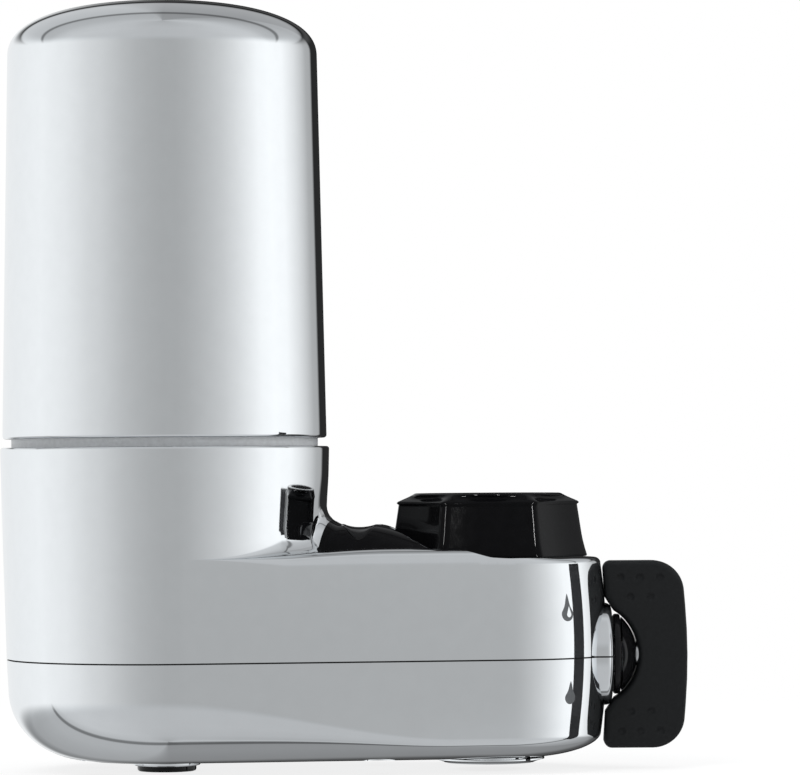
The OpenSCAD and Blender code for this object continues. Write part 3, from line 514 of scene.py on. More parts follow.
def half_boss(shell, upper):
    """Half of the chrome boss, as a solid that ends at the seam."""
    cut = (LOW if upper else HIGH) - VALVE_Z
    outline = [(6.6, 16.5), (BOSS_R, 16.5)] + arc(BOSS_R - 1.2, BOSS_X - 1.2, 1.2, 0, 90, 8) + [(6.6, BOSS_X)]
    n = 64
    side = 1 if upper else -1
    for stretch in ([outline[-1], outline[0]], outline[:2], outline[1:-1], outline[-2:]):
        rows = []
        for r, x in stretch:
            a0 = math.asin(clamp(cut / r, -1, 1))
            a = np.linspace(a0, math.pi - a0, n) if upper else np.linspace(math.pi - a0, 2 * math.pi + a0, n)
            rows.append(np.stack([np.full(n, x), r * np.cos(a), VALVE_Z + r * np.sin(a)], 1))
        shell.grid(np.array(rows), closed=False)
    for flank in (1, -1):
        loop = [(x, flank * math.sqrt(max(0.0, r * r - cut * cut))) for r, x in outline]
        shell.flat([loop], VALVE_Z + cut, (0, 0, -side))


def pocket_rings(n=180, rim=0.4):
    """Rings of the collar's pocket: round its rim from the deck inwards, then its floor's edge."""
    rings = [[] for _ in range(5)]
    normals = [[] for _ in range(5)]
    floor = []
    for k in range(n):
        a = 2 * math.pi * k / n
        c, s = math.cos(a), math.sin(a)
        top = deck_height(LANDING_R * c, LANDING_R * s)
        edge = LANDING_R
        if top < LANDING_Z:
            lo, hi = LANDING_R - 4, LANDING_R
            for _ in range(40):
                mid = (lo + hi) / 2
                lo, hi = (mid, hi) if deck_height(mid * c, mid * s) > LANDING_Z else (lo, mid)
            edge = lo
        room = inset_of(edge * c, edge * s, WALL_R, WALL_NOSE_R)
        drop = ease((top - LANDING_Z) / (2 * rim))
        size = min(rim, 0.5 * room) * max(drop, 0.03)
        for row, q in enumerate((90, 62, 40, 18, 0)):
            q = math.radians(q)
            r = edge + size * (1 - math.cos(q))
            r = edge + size * (1 - math.sin(math.pi / 2 - q)) if row else edge + size
            z = deck_height(r * c, r * s)
            z = max(z, LANDING_Z) - drop * rim * (1 - math.sin(q))
            z = max(z, LANDING_Z)
            rings[row].append((r * c, r * s, z))
            own = surface_normal(deck_height, r * c, r * s)
            turned = unit(own * math.sin(q) + np.array([-c, -s, 0.0]) * math.cos(q))
            normals[row].append(unit(mix(own, turned, drop)))
        floor.append((edge * c, edge * s, LANDING_Z))
    return rings, normals, floor


def hole_rings(loop, rim=0.25):
    """Rings round the edge of a straight-walled hole in the deck, from the deck inwards."""
    p = np.array(loop)
    along = unit(np.roll(p, -1, 0) - np.roll(p, 1, 0))
    out = np.stack([along[:, 1], -along[:, 0]], 1)
    rings, normals = [], []
    for q in (90, 60, 30, 0):
        q = math.radians(q)
        ring = p + out * rim * (1 - math.cos(q))
        heights = [deck_height(x, y) - rim * (1 - math.sin(q)) for x, y in ring]
        rings.append([(x, y, z) for (x, y), z in zip(ring, heights)])
        normals.append([
            unit(surface_normal(deck_height, x, y) * math.sin(q) - np.array([o[0], o[1], 0]) * math.cos(q))
            for (x, y), o in zip(ring, out)
        ])
    return rings, normals


# Where the bridge's black begins, out from the tower's wall
COVER_FOOT = 1.4


def on_bridge(corners):
    """Whether a face of the deck belongs to the bridge, which is black."""
    x, y = np.mean([c[:2] for c in corners], axis=0)
    return rise(x) > 0.3 and abs(y) < bridge_w(x) and math.hypot(x - CART, y) > WALL_R + COVER_FOOT


def bridge_flanks(pocket):
    """Close rows of points along the bridge's steep sides and their foot."""
    points = []
    for x in np.arange(-36.0, -11.5, 0.4):
        for share in (0.5, 0.6, 0.68, 0.75, 0.81, 0.86, 0.9, 0.935, 0.965, 0.985, 1.0, 1.015, 1.05, 1.1):
            y = share * bridge_w(x)
            edge = near_ring(pocket, x, y)
            button = math.hypot((x - BUTTON_X) / (BUTTON_W / 2 + 0.45), y / (BUTTON_L / 2 + 0.45))
            if math.hypot(x - CART, y) > WALL_R + 0.3 and math.hypot(x, y) > math.hypot(*edge) + 0.25 and button > 1:
                points += [(x, y, deck_height(x, y)), (x, -y, deck_height(x, -y))]
    foot = [p for p in points if abs(math.hypot(p[0] - CART, p[1]) - WALL_R - COVER_FOOT) > 0.35]
    r = WALL_R + COVER_FOOT
    for a in np.radians(np.arange(-27, 27.1, 0.5)):
        for out in (-0.01, 0.25, -0.25):
            x, y = CART + (r + out) * math.cos(a), (r + out) * math.sin(a)
            foot.append((x, y, deck_height(x, y)))
    return foot


def base_housing():
    shell = Shell()
    ledge = [deck_column(i) for i in range(RING)]
    wall_n, tower_n, bottom_n = 18, 12, 4
    columns = []
    for i in range(RING):
        first, last = ledge[i][0], ledge[i][-1]
        nat = section(side_r(first[2]), nose_side_r(first[2]), i)
        column = []
        for k in range(wall_n):
            u = k / wall_n
            z = mix(LOW, first[2], u)
            x, y = section(side_r(z), nose_side_r(z), i)
            t = ease((u - 0.45) / 0.55)
            column.append((x + (first[0] - nat[0]) * t, y + (first[1] - nat[1]) * t, z))
        column += [tuple(p) for p in ledge[i]]
        own = math.hypot(last[0] - CART, last[1]) - side_r(last[2])
        top = RIM_Z - 0.5
        for k in range(1, tower_n + 1):
            u = k / tower_n
            z = mix(last[2], top, u)
            r = side_r(z) + own * (1 - ease(u / 0.6))
            column.append((CART + r * math.cos(OUT_ANGLE[i]), r * math.sin(OUT_ANGLE[i]), z))
        centre = side_r(top) - 0.5
        for k in range(1, 7):
            q = math.radians(15 * k)
            r, z = centre + 0.5 * math.cos(q), top + 0.5 * math.sin(q)
            column.append((CART + r * math.cos(OUT_ANGLE[i]), r * math.sin(OUT_ANGLE[i]), z))
        columns.append(column)
    outer = np.array(columns).transpose(1, 0, 2)
    normals = grid_normals(outer)
    first_row, last_row = wall_n, wall_n + LEDGE_N - 1
    clear = max(k for k in range(HALF) if GAP[k] >= 2.5)

    def is_deck(r, c):
        return first_row <= r < last_row and (c < clear or c >= RING - clear)

    shell.grid(outer, normals=normals, skip=is_deck)

    # The deck, with the collar's pocket and the button's opening
    around = list(range(-clear, clear + 1))
    boundary = [(first_row, i) for i in around]
    boundary += [(r, clear) for r in range(first_row + 1, last_row)]
    boundary += [(last_row, i) for i in reversed(around)]
    boundary += [(r, -clear) for r in range(last_row - 1, first_row, -1)]
    edge = [tuple(outer[r][i]) for r, i in boundary]
    edge_n = [tuple(normals[r][i]) for r, i in boundary]
    pocket, pocket_n, pocket_floor = pocket_rings()
    opening = [(BUTTON_X + x, y) for x, y in oval(BUTTON_W, BUTTON_L)]
    button, button_n = hole_rings(opening)
    inner, inner_n = [], []
    for r in range(first_row + 1, last_row):
        for i in range(-clear + 1, clear):
            x, y, z = outer[r][i]
            near = math.hypot(x, y) < 21.5 and math.hypot(x, y) < math.hypot(*near_ring(pocket[0], x, y)) + 0.3
            if near or ((x - BUTTON_X) / (BUTTON_W / 2 + 0.45)) ** 2 + (y / (BUTTON_L / 2 + 0.45)) ** 2 < 1:
                continue
            if rise(x) > 0.3 and 0.46 < abs(y) / bridge_w(x) < 1.13:
                continue
            if abs(y) < 16 and abs(math.hypot(x - CART, y) - WALL_R - COVER_FOOT) < 0.45:
                continue
            inner.append((x, y, z))
            inner_n.append(tuple(normals[r][i]))
    flanks = bridge_flanks(pocket[0])
    inner += flanks
    inner_n += [tuple(surface_normal(deck_height, x, y)) for x, y, _ in flanks]
    loops = [edge, pocket[0], button[0]]
    points = edge + pocket[0] + button[0] + inner
    point_n = edge_n + pocket_n[0] + button_n[0] + inner_n
    faces = triangles(loops, inner)
    for mark in (0, 1):
        shell.mark = mark
        shell.add(points, point_n, [f for f in faces if on_bridge([points[k] for k in f]) == bool(mark)])
    shell.grid(button, normals=np.array(button_n))
    shell.mark = 0
    shell.grid(pocket, normals=np.array(pocket_n))
    shell.grid([pocket[-1], pocket_floor])
    shell.flat([[p[:2] for p in pocket_floor]], LANDING_Z, (0, 0, 1), circle(0, 0, 12, 24))
    floor = [(p[0], p[1], -4.8) for p in button[-1]]
    shell.grid([button[-1], floor])
    shell.flat([[p[:2] for p in floor]], -4.8, (0, 0, 1))

    # The rim's top, and the well that the cartridge stands in
    def ring(r, z):
        return [(CART + r * math.cos(a), r * math.sin(a), z) for a in OUT_ANGLE]

    top_r = side_r(RIM_Z - 0.5) - 0.5
    shell.grid([ring(top_r, RIM_Z), ring(31.25, RIM_Z)])
    shell.grid([ring(31.0 + 0.25 * (1 - math.sin(q)), RIM_Z - 0.25 * (1 - math.cos(q)))
                for q in np.radians([0, 30, 60, 90])])
    shell.grid([ring(31.0, RIM_Z - 0.25), ring(31.0, -6.4)])
    shell.grid([ring(31.0, -6.4), ring(28.4, -6.4)])
    shell.grid([ring(28.4, -6.4), ring(28.4, -12.0)])
    sockets = [circle(CART, 0, 8.4, 48), circle(CART + 19, 0, 6.2, 40)]
    shell.flat([[p[:2] for p in ring(28.4, 0)], *sockets], -12.0, (0, 0, 1))
    for hole in sockets:
        shell.grid([[(x, y, -12.0) for x, y in hole], [(x, y, -14.6) for x, y in hole]])

    # The hollow underneath
    def level(z, cut):
        return [(*section(side_r(z) - cut, nose_side_r(z) - cut, i), z) for i in range(RING)]

    ceiling = level(-14.6, 2.9)
    shell.flat([[p[:2] for p in ceiling], *sockets], -14.6, (0, 0, -1))
    step = LOW + 1.6
    for a, b in ((ceiling, level(step, WALL)), (level(step, WALL), level(step, WALL - 1.2)),
                 (level(step, WALL - 1.2), level(LOW, WALL - 1.2)), (level(LOW, WALL - 1.2), level(LOW, 0))):
        shell.grid([a, b])
    half_boss(shell, True)
    return shell.make("base_housing_skin", chrome, "base", "chrome", "base_housing", second=black_collar)


def near_ring(ring, x, y):
    """The point of a ring about the collar's axis that lies in the direction of (x, y)."""
    n = len(ring)
    k = int(round((math.atan2(y, x) % (2 * math.pi)) / (2 * math.pi) * n)) % n
    return ring[k][:2]


housing = base_housing()


# The lower casing

def curve_h(x):
    return mix(CURVE_H, NOSE_CURVE_H, ease((x - CART) / 58))


def base_bottom():
    shell = Shell()
    base_x = [section(SEAM_R, NOSE_R, i)[0] for i in range(RING)]
    last_q = 60

    def under(i, q, off=0.0, up=0.0):
        h = curve_h(base_x[i])
        top = BOTTOM_Z + h
        cut = CURVE_W * (1 - math.cos(q)) + off
        x, y = section(side_r(top) - cut, nose_side_r(top) - cut, i)
        return (x, y, top - h * math.sin(q) + up)

    def flank(i, t, off=0.0):
        z = mix(HIGH, BOTTOM_Z + curve_h(base_x[i]), t)
        return (*section(side_r(z) - off, nose_side_r(z) - off, i), z)

    def height(x, y):
        """Height of the underside over a point of its middle."""
        h = curve_h(x)
        top = BOTTOM_Z + h
        d = clamp(inset_of(x, y, side_r(top), nose_side_r(top)), 0.0, CURVE_W)
        return top - h * math.sqrt(1 - (1 - d / CURVE_W) ** 2)

    outside = [[under(i, math.radians(q)) for i in range(RING)] for q in range(last_q, 0, -4)]
    outside += [[flank(i, 1 - k / 8) for i in range(RING)] for k in range(9)]
    outside = np.array(outside)
    shell.grid(outside)
    lip = HIGH + 1.6 + SEAM_GAP - 0.1

    def level(z, cut):
        return [(*section(side_r(z) - cut, nose_side_r(z) - cut, i), z) for i in range(RING)]

    lip_in = WALL - 1.2 + 0.05
    # The lip's faces inside the seam gap take the second, dark finish: painted shade of the gap
    shell.mark = 1
    shell.grid([level(HIGH, 0.25), level(HIGH, lip_in)])
    shell.mark = 0
    for a, b in ((level(HIGH, 0), level(HIGH, 0.25)), (level(HIGH, lip_in), level(lip, lip_in)),
                 (level(lip, lip_in), level(lip, WALL)), (level(lip, WALL), level(HIGH - 1, WALL))):
        shell.mark = 1 if a[0][2] == HIGH and b[0][2] == lip else 0
        shell.grid([a, b])
    shell.mark = 0
    inner = [level(HIGH - 1, WALL)]
    inner += [[flank(i, t, WALL) for i in range(RING)] for t in (0.35, 0.7, 1.0)]
    for q in range(10, last_q + 1, 10):
        share = math.radians(90 * q / last_q)
        inner.append([under(i, math.radians(q), WALL * math.cos(share), WALL * math.sin(share)) for i in range(RING)])
    shell.grid(inner)

    screws = [(CART - 13.5, 10), (CART - 13.5, -10), (-22, 13), (-22, -13)]
    holes = [circle(CART, 0, 6.9, 48), circle(0, 0, 8.1, 56)]
    bores = [circle(x, y, 3.2, 32) for x, y in screws]
    posts = [circle(x, y, 4.4, 32) for x, y in screws]
    rim = [tuple(p) for p in outside[0]]
    fill = []
    for q in range(last_q + 5, 91, 5):
        ring = [under(i, math.radians(q)) for i in range(0, RING, 3)]
        fill += [p[:2] for p in ring]
    fill += [(x, y) for x in np.arange(-78, 6, 4.0) for y in np.arange(-12, 13, 4.0)]
    taken = [(CART, 0, 7.5), (0, 0, 8.7)] + [(x, y, 5.0) for x, y in screws]
    fill = [p for p in fill if all(math.hypot(p[0] - x, p[1] - y) > r for x, y, r in taken)]

    def patch(edge, edge_n, gaps, up, side):
        points = list(edge)
        normals = list(edge_n)
        for loop in gaps + [fill]:
            for x, y in loop:
                points.append((x, y, height(x, y) + up))
                normals.append(side * surface_normal(height, x, y))
        shell.add(points, normals, triangles([edge] + gaps, fill))

    patch(rim, [tuple(n) for n in grid_normals(outside)[0]], holes + bores, 0.0, -1)
    inner_rim = [tuple(p) for p in inner[-1]]
    patch(inner_rim, [tuple(surface_normal(height, x, y)) for x, y, _ in inner_rim], holes + posts, WALL, 1)
    for loop in holes:
        shell.grid([[(x, y, height(x, y) + WALL) for x, y in loop], [(x, y, height(x, y)) for x, y in loop]])
    for (cx, cy), bore, post in zip(screws, bores, posts):
        def at(r, z):
            return [(x, y, z) for x, y in circle(cx, cy, r, 32)]

        rows = [[(x, y, height(x, y)) for x, y in bore], at(3.2, -43), at(1.8, -43), at(1.8, -29.2),
                at(4.4, -29.2), [(x, y, height(x, y) + WALL) for x, y in post]]
        for a, b in zip(rows, rows[1:]):
            shell.grid([b, a], flip=False)
    half_boss(shell, False)
    return shell.make("base_bottom_skin", chrome, "base", "chrome", "base_bottom", second=groove)


bottom = base_bottom()


# The mounting collar, with its thread

def collar_outline(r, z, hollow, round_share=0.0):
    out = []
    side = [30 - 30 * math.copysign(abs(t) ** 0.6, t) for t in np.linspace(1, -1, 25)][:-1]
    for s in range(6):
        for a in side:
            flat = r * math.cos(math.radians(30)) / math.cos(math.radians(a - 30))
            base = flat - hollow * (1 - ((a - 30) / 30) ** 2)
            cut = r * 0.985
            k = 0.3
            h = clamp(0.5 + 0.5 * (cut - base) / k)
            own = mix(cut, base, h) - k * h * (1 - h)
            own = mix(own, r, round_share)
            q = math.radians(60 * s + a)
            out.append((own * math.cos(q), own * math.sin(q), z))
    return out


def collar_r(z):
    return mix(20.1, 18.4, (z + 6) / 11.1) + 0.5 * max(0.0, 1 - (z + 6) / 5) ** 2 - 0.4


def collar():
    shell = Shell()
    foot = collar_r(-6)
    rows = [collar_outline(foot - 0.45, -6, 0.7), collar_outline(foot - 0.22, -5.94, 0.7),
            collar_outline(foot - 0.1, -5.75, 0.7)]
    rows += [collar_outline(collar_r(z), z, 0.7) for z in np.linspace(-5.4, 4.4, 22)]
    rows += [collar_outline(r, z, h, s) for r, z, h, s in (
        (18.5, 4.7, 0.7, 0), (18.42, 4.93, 0.68, 0), (18.15, 5.1, 0.66, 0), (17.4, 5.42, 0.52, 0.02),
        (16.6, 5.75, 0.36, 0.1), (15.9, 6.04, 0.2, 0.35), (15.4, 6.25, 0.1, 0.7), (15.0, 6.42, 0.0, 1),
        (14.8, 6.54, 0, 1), (14.6, 6.64, 0, 1), (14.3, 6.7, 0, 1))]
    shell.grid(np.array(rows))
    n = len(rows[0])
    angles = [math.atan2(p[1], p[0]) for p in rows[0]]

    def ring(r, z):
        return [(r * math.cos(a), r * math.sin(a), z) for a in angles]

    inner = [rows[-1], ring(11.6, 6.7), ring(10.9, 6.1), ring(10.9, 0), ring(11.2, 0), ring(11.2, -4),
             ring(7.7, -4), ring(7.7, -6), rows[0]]
    for a, b in zip(inner, inner[1:]):
        shell.grid([a, b])
    # Ridge of the thread, 27 turns to the inch
    pitch, turns, per = 25.4 / 27, 5.6, 72
    steps = int(turns * per)
    helix = []
    for k in range(steps + 1):
        a = 2 * math.pi * k / per
        z = 0.35 + pitch * k / per
        grow = clamp(min(k, steps - k) / 16)
        depth = 0.02 + 0.46 * grow
        c, s = math.cos(a), math.sin(a)
        shape = [(10.95, 0.36), (10.9 - depth, 0.07), (10.9 - depth, -0.07), (10.95, -0.36)]
        helix.append([(r * c, r * s, z + dz) for r, dz in shape])
    helix = np.array(helix)
    for a in range(4):
        b = (a + 1) % 4
        shell.grid(helix[:, [a, b]], closed=False, flip=True)
    for end, side in ((0, -1), (-1, 1)):
        p = [tuple(v) for v in helix[end]]
        direction = unit(helix[1][0] - helix[0][0] if end == 0 else helix[-1][0] - helix[-2][0]) * side
        shell.add(p, [tuple(direction)] * 4, [[0, 1, 2, 3]])
    return shell.make("mounting_collar_body", black_collar, "collar", "black_gloss", "mounting_collar")


collar()


# The release button

def button_top(x, y, dish):
    share = math.hypot(x / (BUTTON_W / 2 - 0.4), y / (BUTTON_L / 2 - 1.2))
    return surface_z(BUTTON_X + x, y) - 0.15 - dish * max(0.0, 1 - share ** 2)


def release_button():
    shell = Shell()
    w, l, bottom_at = BUTTON_W - 0.5, BUTTON_L - 0.5, -3.1

    def ring(share, z=None, dish=BUTTON_DISH, cut=0.0, drop=0.0):
        p = oval((w - 2 * cut) * share, (l - 2 * cut) * share)
        return [(BUTTON_X + x, y, button_top(x, y, dish) - drop if z is None else z) for x, y in p]

    side = [ring(1, bottom_at)] + [ring(1, None, 0, 0, 0.3)]
    side = [ring(1, bottom_at), ring(1, None, 0, 0, 0.9), ring(1, None, 0, 0, 0.3)]
    for q in (30, 60, 90):
        t = math.radians(q)
        side.append(ring(1, None, 0, 0.3 * (1 - math.cos(t)), 0.3 * (1 - math.sin(t))))
    for share in (0.9, 0.84, 0.76, 0.68, 0.58, 0.48, 0.38, 0.28, 0.18, 0.09):
        side.append(ring(share, None, BUTTON_DISH))
    centre = button_top(0, 0, BUTTON_DISH)
    side.append([(BUTTON_X, 0, centre)] * 72)
    shell.grid(np.array(side))
    shell.flat([[p[:2] for p in ring(1, bottom_at)]], bottom_at, (0, 0, -1))
    leg = [(-2, -2.8), (-2, -10.2), (-0.2, -10.2), (2.1, -7.9), (2.1, -2.8)]
    ends = [[(BUTTON_X + x, y, z) for x, z in leg] for y in (-2.5, 2.5)]
    for k in range(5):
        a, b = leg[k], leg[(k + 1) % 5]
        n = unit([-(b[1] - a[1]), 0, b[0] - a[0]])
        shell.add([ends[0][k], ends[0][(k + 1) % 5], ends[1][(k + 1) % 5], ends[1][k]], [tuple(n)] * 4, [[0, 1, 2, 3]])
    for y, end in ((-1, ends[0]), (1, ends[1])):
        shell.add(end, [(0, y, 0)] * 5, [[0, 1, 2, 3, 4]])
    return shell.make("release_button_cap", black_gloss, "button", "black_gloss", "release_button")


release_button()


# The handle

def handle_hub():
    shell = Shell()
    x0 = BOSS_X + 0.3
    x1 = x0 + 1.4
    last = math.degrees(math.asin((HUB_R - 0.6) / DOME_R))
    face = [(DOME_R * math.sin(math.radians(last * (1 - k / 20))), DOME_X + DOME_R * math.cos(math.radians(last * (1 - k / 20))))
            for k in range(21)]
    face[-1] = (0.0, face[-1][1])
    shell.turn([
        [(0.0, x0), (HUB_R - 0.5, x0)],
        arc(HUB_R - 0.5, x0 + 0.5, 0.5, -90, 0, 6) + arc(HUB_R - 0.5, x1 - 0.5, 0.5, 0, 90, 6)[1:],
        face,
    ], n=120, about="X")
    return shell.make("handle_hub_dome", black_gloss, "handle", "black_gloss", "handle_hub")


handle_hub()


def rounded(a, b, c, r, n):
    """Points of the round at corner b."""
    a, b, c = (np.array(p, float) for p in (a, b, c))
    u, v = unit(a - b), unit(c - b)
    half = math.acos(clamp(float(u @ v), -1, 1)) / 2
    mid = b + unit(u + v) * r / math.sin(half)
    p = b + u * r / math.tan(half) - mid
    turn = (math.pi - 2 * half) * math.copysign(1, u[0] * v[1] - u[1] * v[0])
    out = []
    for k in range(n + 1):
        t = -turn * k / n
        out.append((mid[0] + p[0] * math.cos(t) - p[1] * math.sin(t), mid[1] + p[0] * math.sin(t) + p[1] * math.cos(t)))
    return out


def grip_outline(cut):
    h = GRIP_H / 2 - cut
    x0, x1 = 22.75 + cut, GRIP_X - cut
    r = DOME_R + 0.1 + cut
    tip = math.acos((BOSS_X + 0.45 + cut - DOME_X) / r)
    bite = [(DOME_X + r * math.cos(tip * (1 - k / 16)), r * math.sin(tip * (1 - k / 16))) for k in range(33)]
    foot = (23.2 + cut, 11.4 + cut / 2)
    foot_low = (foot[0], -foot[1])
    inner, outer = 1.6 - cut * 0.8, 6.4 - cut
    left = [(x0, h), (x0, -h)]
    right = [(x1 - 1.4, -h), (x1 + 0.15, 0), (x1 - 1.4, h)]
    return (rounded(right[2], left[0], foot, inner, 8) + [foot] + bite + [foot_low]
            + rounded(foot_low, left[1], right[0], inner, 8)
            + rounded(left[1], right[0], right[1], outer, 14)
            + rounded(right[0], right[1], right[2], 120, 4)
            + rounded(right[1], right[2], left[0], outer, 14))


def handle_grip():
    shell = Shell()
    edge, half = 1.2, GRIP_T / 2
    rows = []
    for q in (0, 15, 30, 45, 60, 75, 90):
        t = math.radians(q)
        rows.append([(x, -half + edge * (1 - math.cos(t)), VALVE_Z + z)
                     for x, z in grip_outline(edge * (1 - math.sin(t)))])
    rows += [[(x, -y, z) for x, y, z in row] for row in rows[-2::-1]]
    rows = np.array(rows)
    n = grid_normals(rows)
    centre = np.array([31.0, 0.0, VALVE_Z])
    n = n if ((rows - centre) * n).sum() > 0 else -n
    shell.grid(rows, normals=n)
    spots = [(x, side * (GRIP_H / 2 - row)) for row, xs in ((3.4, (26.4, 30.2, 34.2)), (7.3, (28.3, 32.3)))
             for x in xs for side in (1, -1)]
    size, deep = 0.82, 0.42

    def dip(rho):
        return deep * (1 - (rho / size) ** 2) if rho < size else 0.0

    loop = [(p[0], p[2] - VALVE_Z) for p in rows[0]]
    extra, drops, slopes = [], [], []
    for cx, cz in spots:
        for rho, slope in ((0.95, 0.0), (0.84, 0.25), (0.78, 0.8), (0.66, 1), (0.5, 1), (0.33, 1), (0.16, 1)):
            for k in range(20):
                a = 2 * math.pi * k / 20
                extra.append((cx + rho * math.cos(a), cz + rho * math.sin(a)))
                drops.append(dip(rho))
                steep = slope * 2 * deep * min(rho, size) / size ** 2
                slopes.append((steep * math.cos(a), steep * math.sin(a)))
        extra.append((cx, cz))
        drops.append(deep)
        slopes.append((0.0, 0.0))
    faces = triangles([loop], extra)
    for side, row in ((-1, rows[0]), (1, rows[-1])):
        points = [tuple(p) for p in row] + [(x, side * (half - d), VALVE_Z + z) for (x, z), d in zip(extra, drops)]
        normals = [(0, side, 0)] * len(row) + [tuple(unit([-sx, side, -sz])) for sx, sz in slopes]
        shell.add(points, normals, faces)
    return shell.make("handle_grip_body", black_grip, "handle", "black_grip", "handle_grip")


handle_grip()


# Printed drops on the nose, as thin films on the casings

def drop_shape(h, w, n=40):
    """Outline of a water drop, its tip up, centred on its round end's middle."""
    r = w / 2
    top = h - r
    tilt = math.asin(r / top)
    out = [(0.0, top)]
    for k in range(n + 1):
        a = mix(math.pi - tilt, 2 * math.pi + tilt, k / n) + 0
        out.append((r * math.cos(a), r * math.sin(a)))
    return out


def bend_in(points, top, r):
    """Pulls the drop's flanks in so that they are hollow below the tip."""
    return [(x * (1 - 0.28 * math.sin(math.pi * clamp(y / top)) ** 2) if y > 0 else x, y) for x, y in points]


def printed_drop(name, x_at, z_mid, h, w, light, target):
    tree = BVHTree.FromObject(target, bpy.context.evaluated_depsgraph_get())
    base = drop_shape(h, w, 44)
    flank = []
    tip = base[0]
    for k in range(1, 9):
        flank.append((mix(tip[0], base[1][0], k / 9), mix(tip[1], base[1][1], k / 9)))
    other = [(-x, y) for x, y in reversed(flank)]
    outline = bend_in([tip] + flank + base[1:] + other, h - w / 2, w / 2)
    loops = [outline]
    if light:
        small = bend_in(drop_shape(h * 0.42, w * 0.4, 24), h * 0.42 - w * 0.2, w * 0.2)
        loops.append([(x + w * 0.14, y - h * 0.02) for x, y in small])
    a_mid = math.asin((x_at - NOSE) / 22.0)
    xs = np.linspace(-w / 2, w / 2, 7)[1:-1]
    ys = np.linspace(-w / 2, h - w / 2, 14)[1:-1]
    grid = [(x, y) for x in xs for y in ys]
    keep = inside(np.array(grid), outline)
    if light:
        keep &= ~inside(np.array(grid), loops[1])
    grid = [g for g, k in zip(grid, keep) if k]
    flat = [p for loop in loops for p in loop] + grid
    faces = triangles(loops, grid)
    front, back, normals = [], [], []
    for u, v in flat:
        a = a_mid + u / 22.0
        out = np.array([math.sin(a), -math.cos(a), 0.0])
        start = np.array([NOSE, 0.0, z_mid + v]) + out * 30
        hit, n, _, _ = tree.ray_cast(Vector(start * MM), Vector(-out))
        hit, n = np.array(hit) / MM, np.array(n)
        front.append(tuple(hit + n * 0.03))
        back.append(tuple(hit - n * 0.03))
        normals.append(tuple(unit(out + [0, 0, n[2]])))
    shell = Shell()
    shell.add(front, normals, faces)
    shell.add(back, [tuple(-np.array(n)) for n in normals], faces)
    start = 0
    for number, loop in enumerate(loops):
        m = len(loop)
        rows = [[front[start + k] for k in range(m)], [back[start + k] for k in range(m)]]
        shell.grid(np.array(rows), flip=number == 0)
        start += m
    return shell.make(name, print_ink, "base", "black_gloss")


bpy.context.view_layer.update()
printed_drop("drop_filtered", 15.2, -17.0, 5.4, 2.9, True, housing)
printed_drop("drop_tap", 15.75, -33.4, 4.55, 2.7, False, bottom)


# Camera, floor and light

camera_data = bpy.data.cameras.new("camera")
camera_data.lens, camera_data.sensor_width = 195.75, 36
camera_data.shift_y = 0.0994
camera_data.clip_start, camera_data.clip_end = 0.05, 20
camera = bpy.data.objects.new("camera", camera_data)
camera.matrix_world = (
    Matrix.Translation((-0.0175, -0.87, 0.012))
    @ Matrix.Rotation(math.radians(90), 4, "X")
    @ Matrix.Rotation(math.radians(-0.37), 4, "Z")
)
bpy.context.scene.collection.objects.link(camera)
bpy.context.scene.camera = camera
bpy.context.scene.view_settings.view_transform = "Standard"


def floor():
    mesh = bpy.data.meshes.new("floor")
    rings, n = [0.0, 0.15, 0.3, 0.6, 1.2, 2.4], 64
    points = [(0.0, 0.0, 0.0)]
    faces = []
    for k, r in enumerate(rings[1:]):
        for i in range(n):
            a = 2 * math.pi * i / n
            points.append((r * math.cos(a), r * math.sin(a), 0.0))
        for i in range(n):
            j = (i + 1) % n
            if k == 0:
                faces.append([0, 1 + i, 1 + j])
            else:
                p, q = 1 + (k - 1) * n, 1 + k * n
                faces.append([p + i, q + i, q + j, p + j])
    mesh.from_pydata(points, [], faces)
    piece = bpy.data.objects.new("floor", mesh)
    piece.location = (-0.02, 0, -0.04845)
    piece.visible_glossy = False
    bpy.context.scene.collection.objects.link(piece)
    mat = bpy.data.materials.new("floor_white")
    mat.use_nodes = True
    tree = mat.node_tree
    tree.nodes.clear()
    out = tree.nodes.new("ShaderNodeOutputMaterial")
    diffuse = node(tree, "ShaderNodeBsdfDiffuse", Color=(0.85, 0.85, 0.85, 1))
    glow = node(tree, "ShaderNodeEmission", Color=(1, 1, 1, 1), Strength=1.0)
    blend = tree.nodes.new("ShaderNodeMixShader")
    path = tree.nodes.new("ShaderNodeLightPath")
    place = tree.nodes.new("ShaderNodeTexCoord")
    away = tree.nodes.new("ShaderNodeVectorMath")
    away.operation = "LENGTH"
    tree.links.new(place.outputs["Object"], away.inputs[0])
    plain = node(tree, "ShaderNodeMapRange", interpolation_type="SMOOTHSTEP")
    for key, value in (("From Min", 0.08), ("From Max", 0.30), ("To Min", 0.80), ("To Max", 1.0)):
        plain.inputs[key].default_value = value
    tree.links.new(away.outputs["Value"], plain.inputs["Value"])
    share = node(tree, "ShaderNodeMath", operation="MULTIPLY")
    tree.links.new(path.outputs["Is Camera Ray"], share.inputs[0])
    tree.links.new(plain.outputs["Result"], share.inputs[1])
    tree.links.new(share.outputs["Value"], blend.inputs["Fac"])
    tree.links.new(diffuse.outputs["BSDF"], blend.inputs[1])
    tree.links.new(glow.outputs["Emission"], blend.inputs[2])
    tree.links.new(blend.outputs["Shader"], out.inputs["Surface"])
    mesh.materials.append(mat)


floor()


def calc(tree, operation, *values):
    """Output of a math node over sockets or plain numbers."""
    made = tree.nodes.new("ShaderNodeMath")
    made.operation = operation
    for number, value in enumerate(values):
        if isinstance(value, (int, float)):
            made.inputs[number].default_value = value
        else:
            tree.links.new(value, made.inputs[number])
    return made.outputs["Value"]


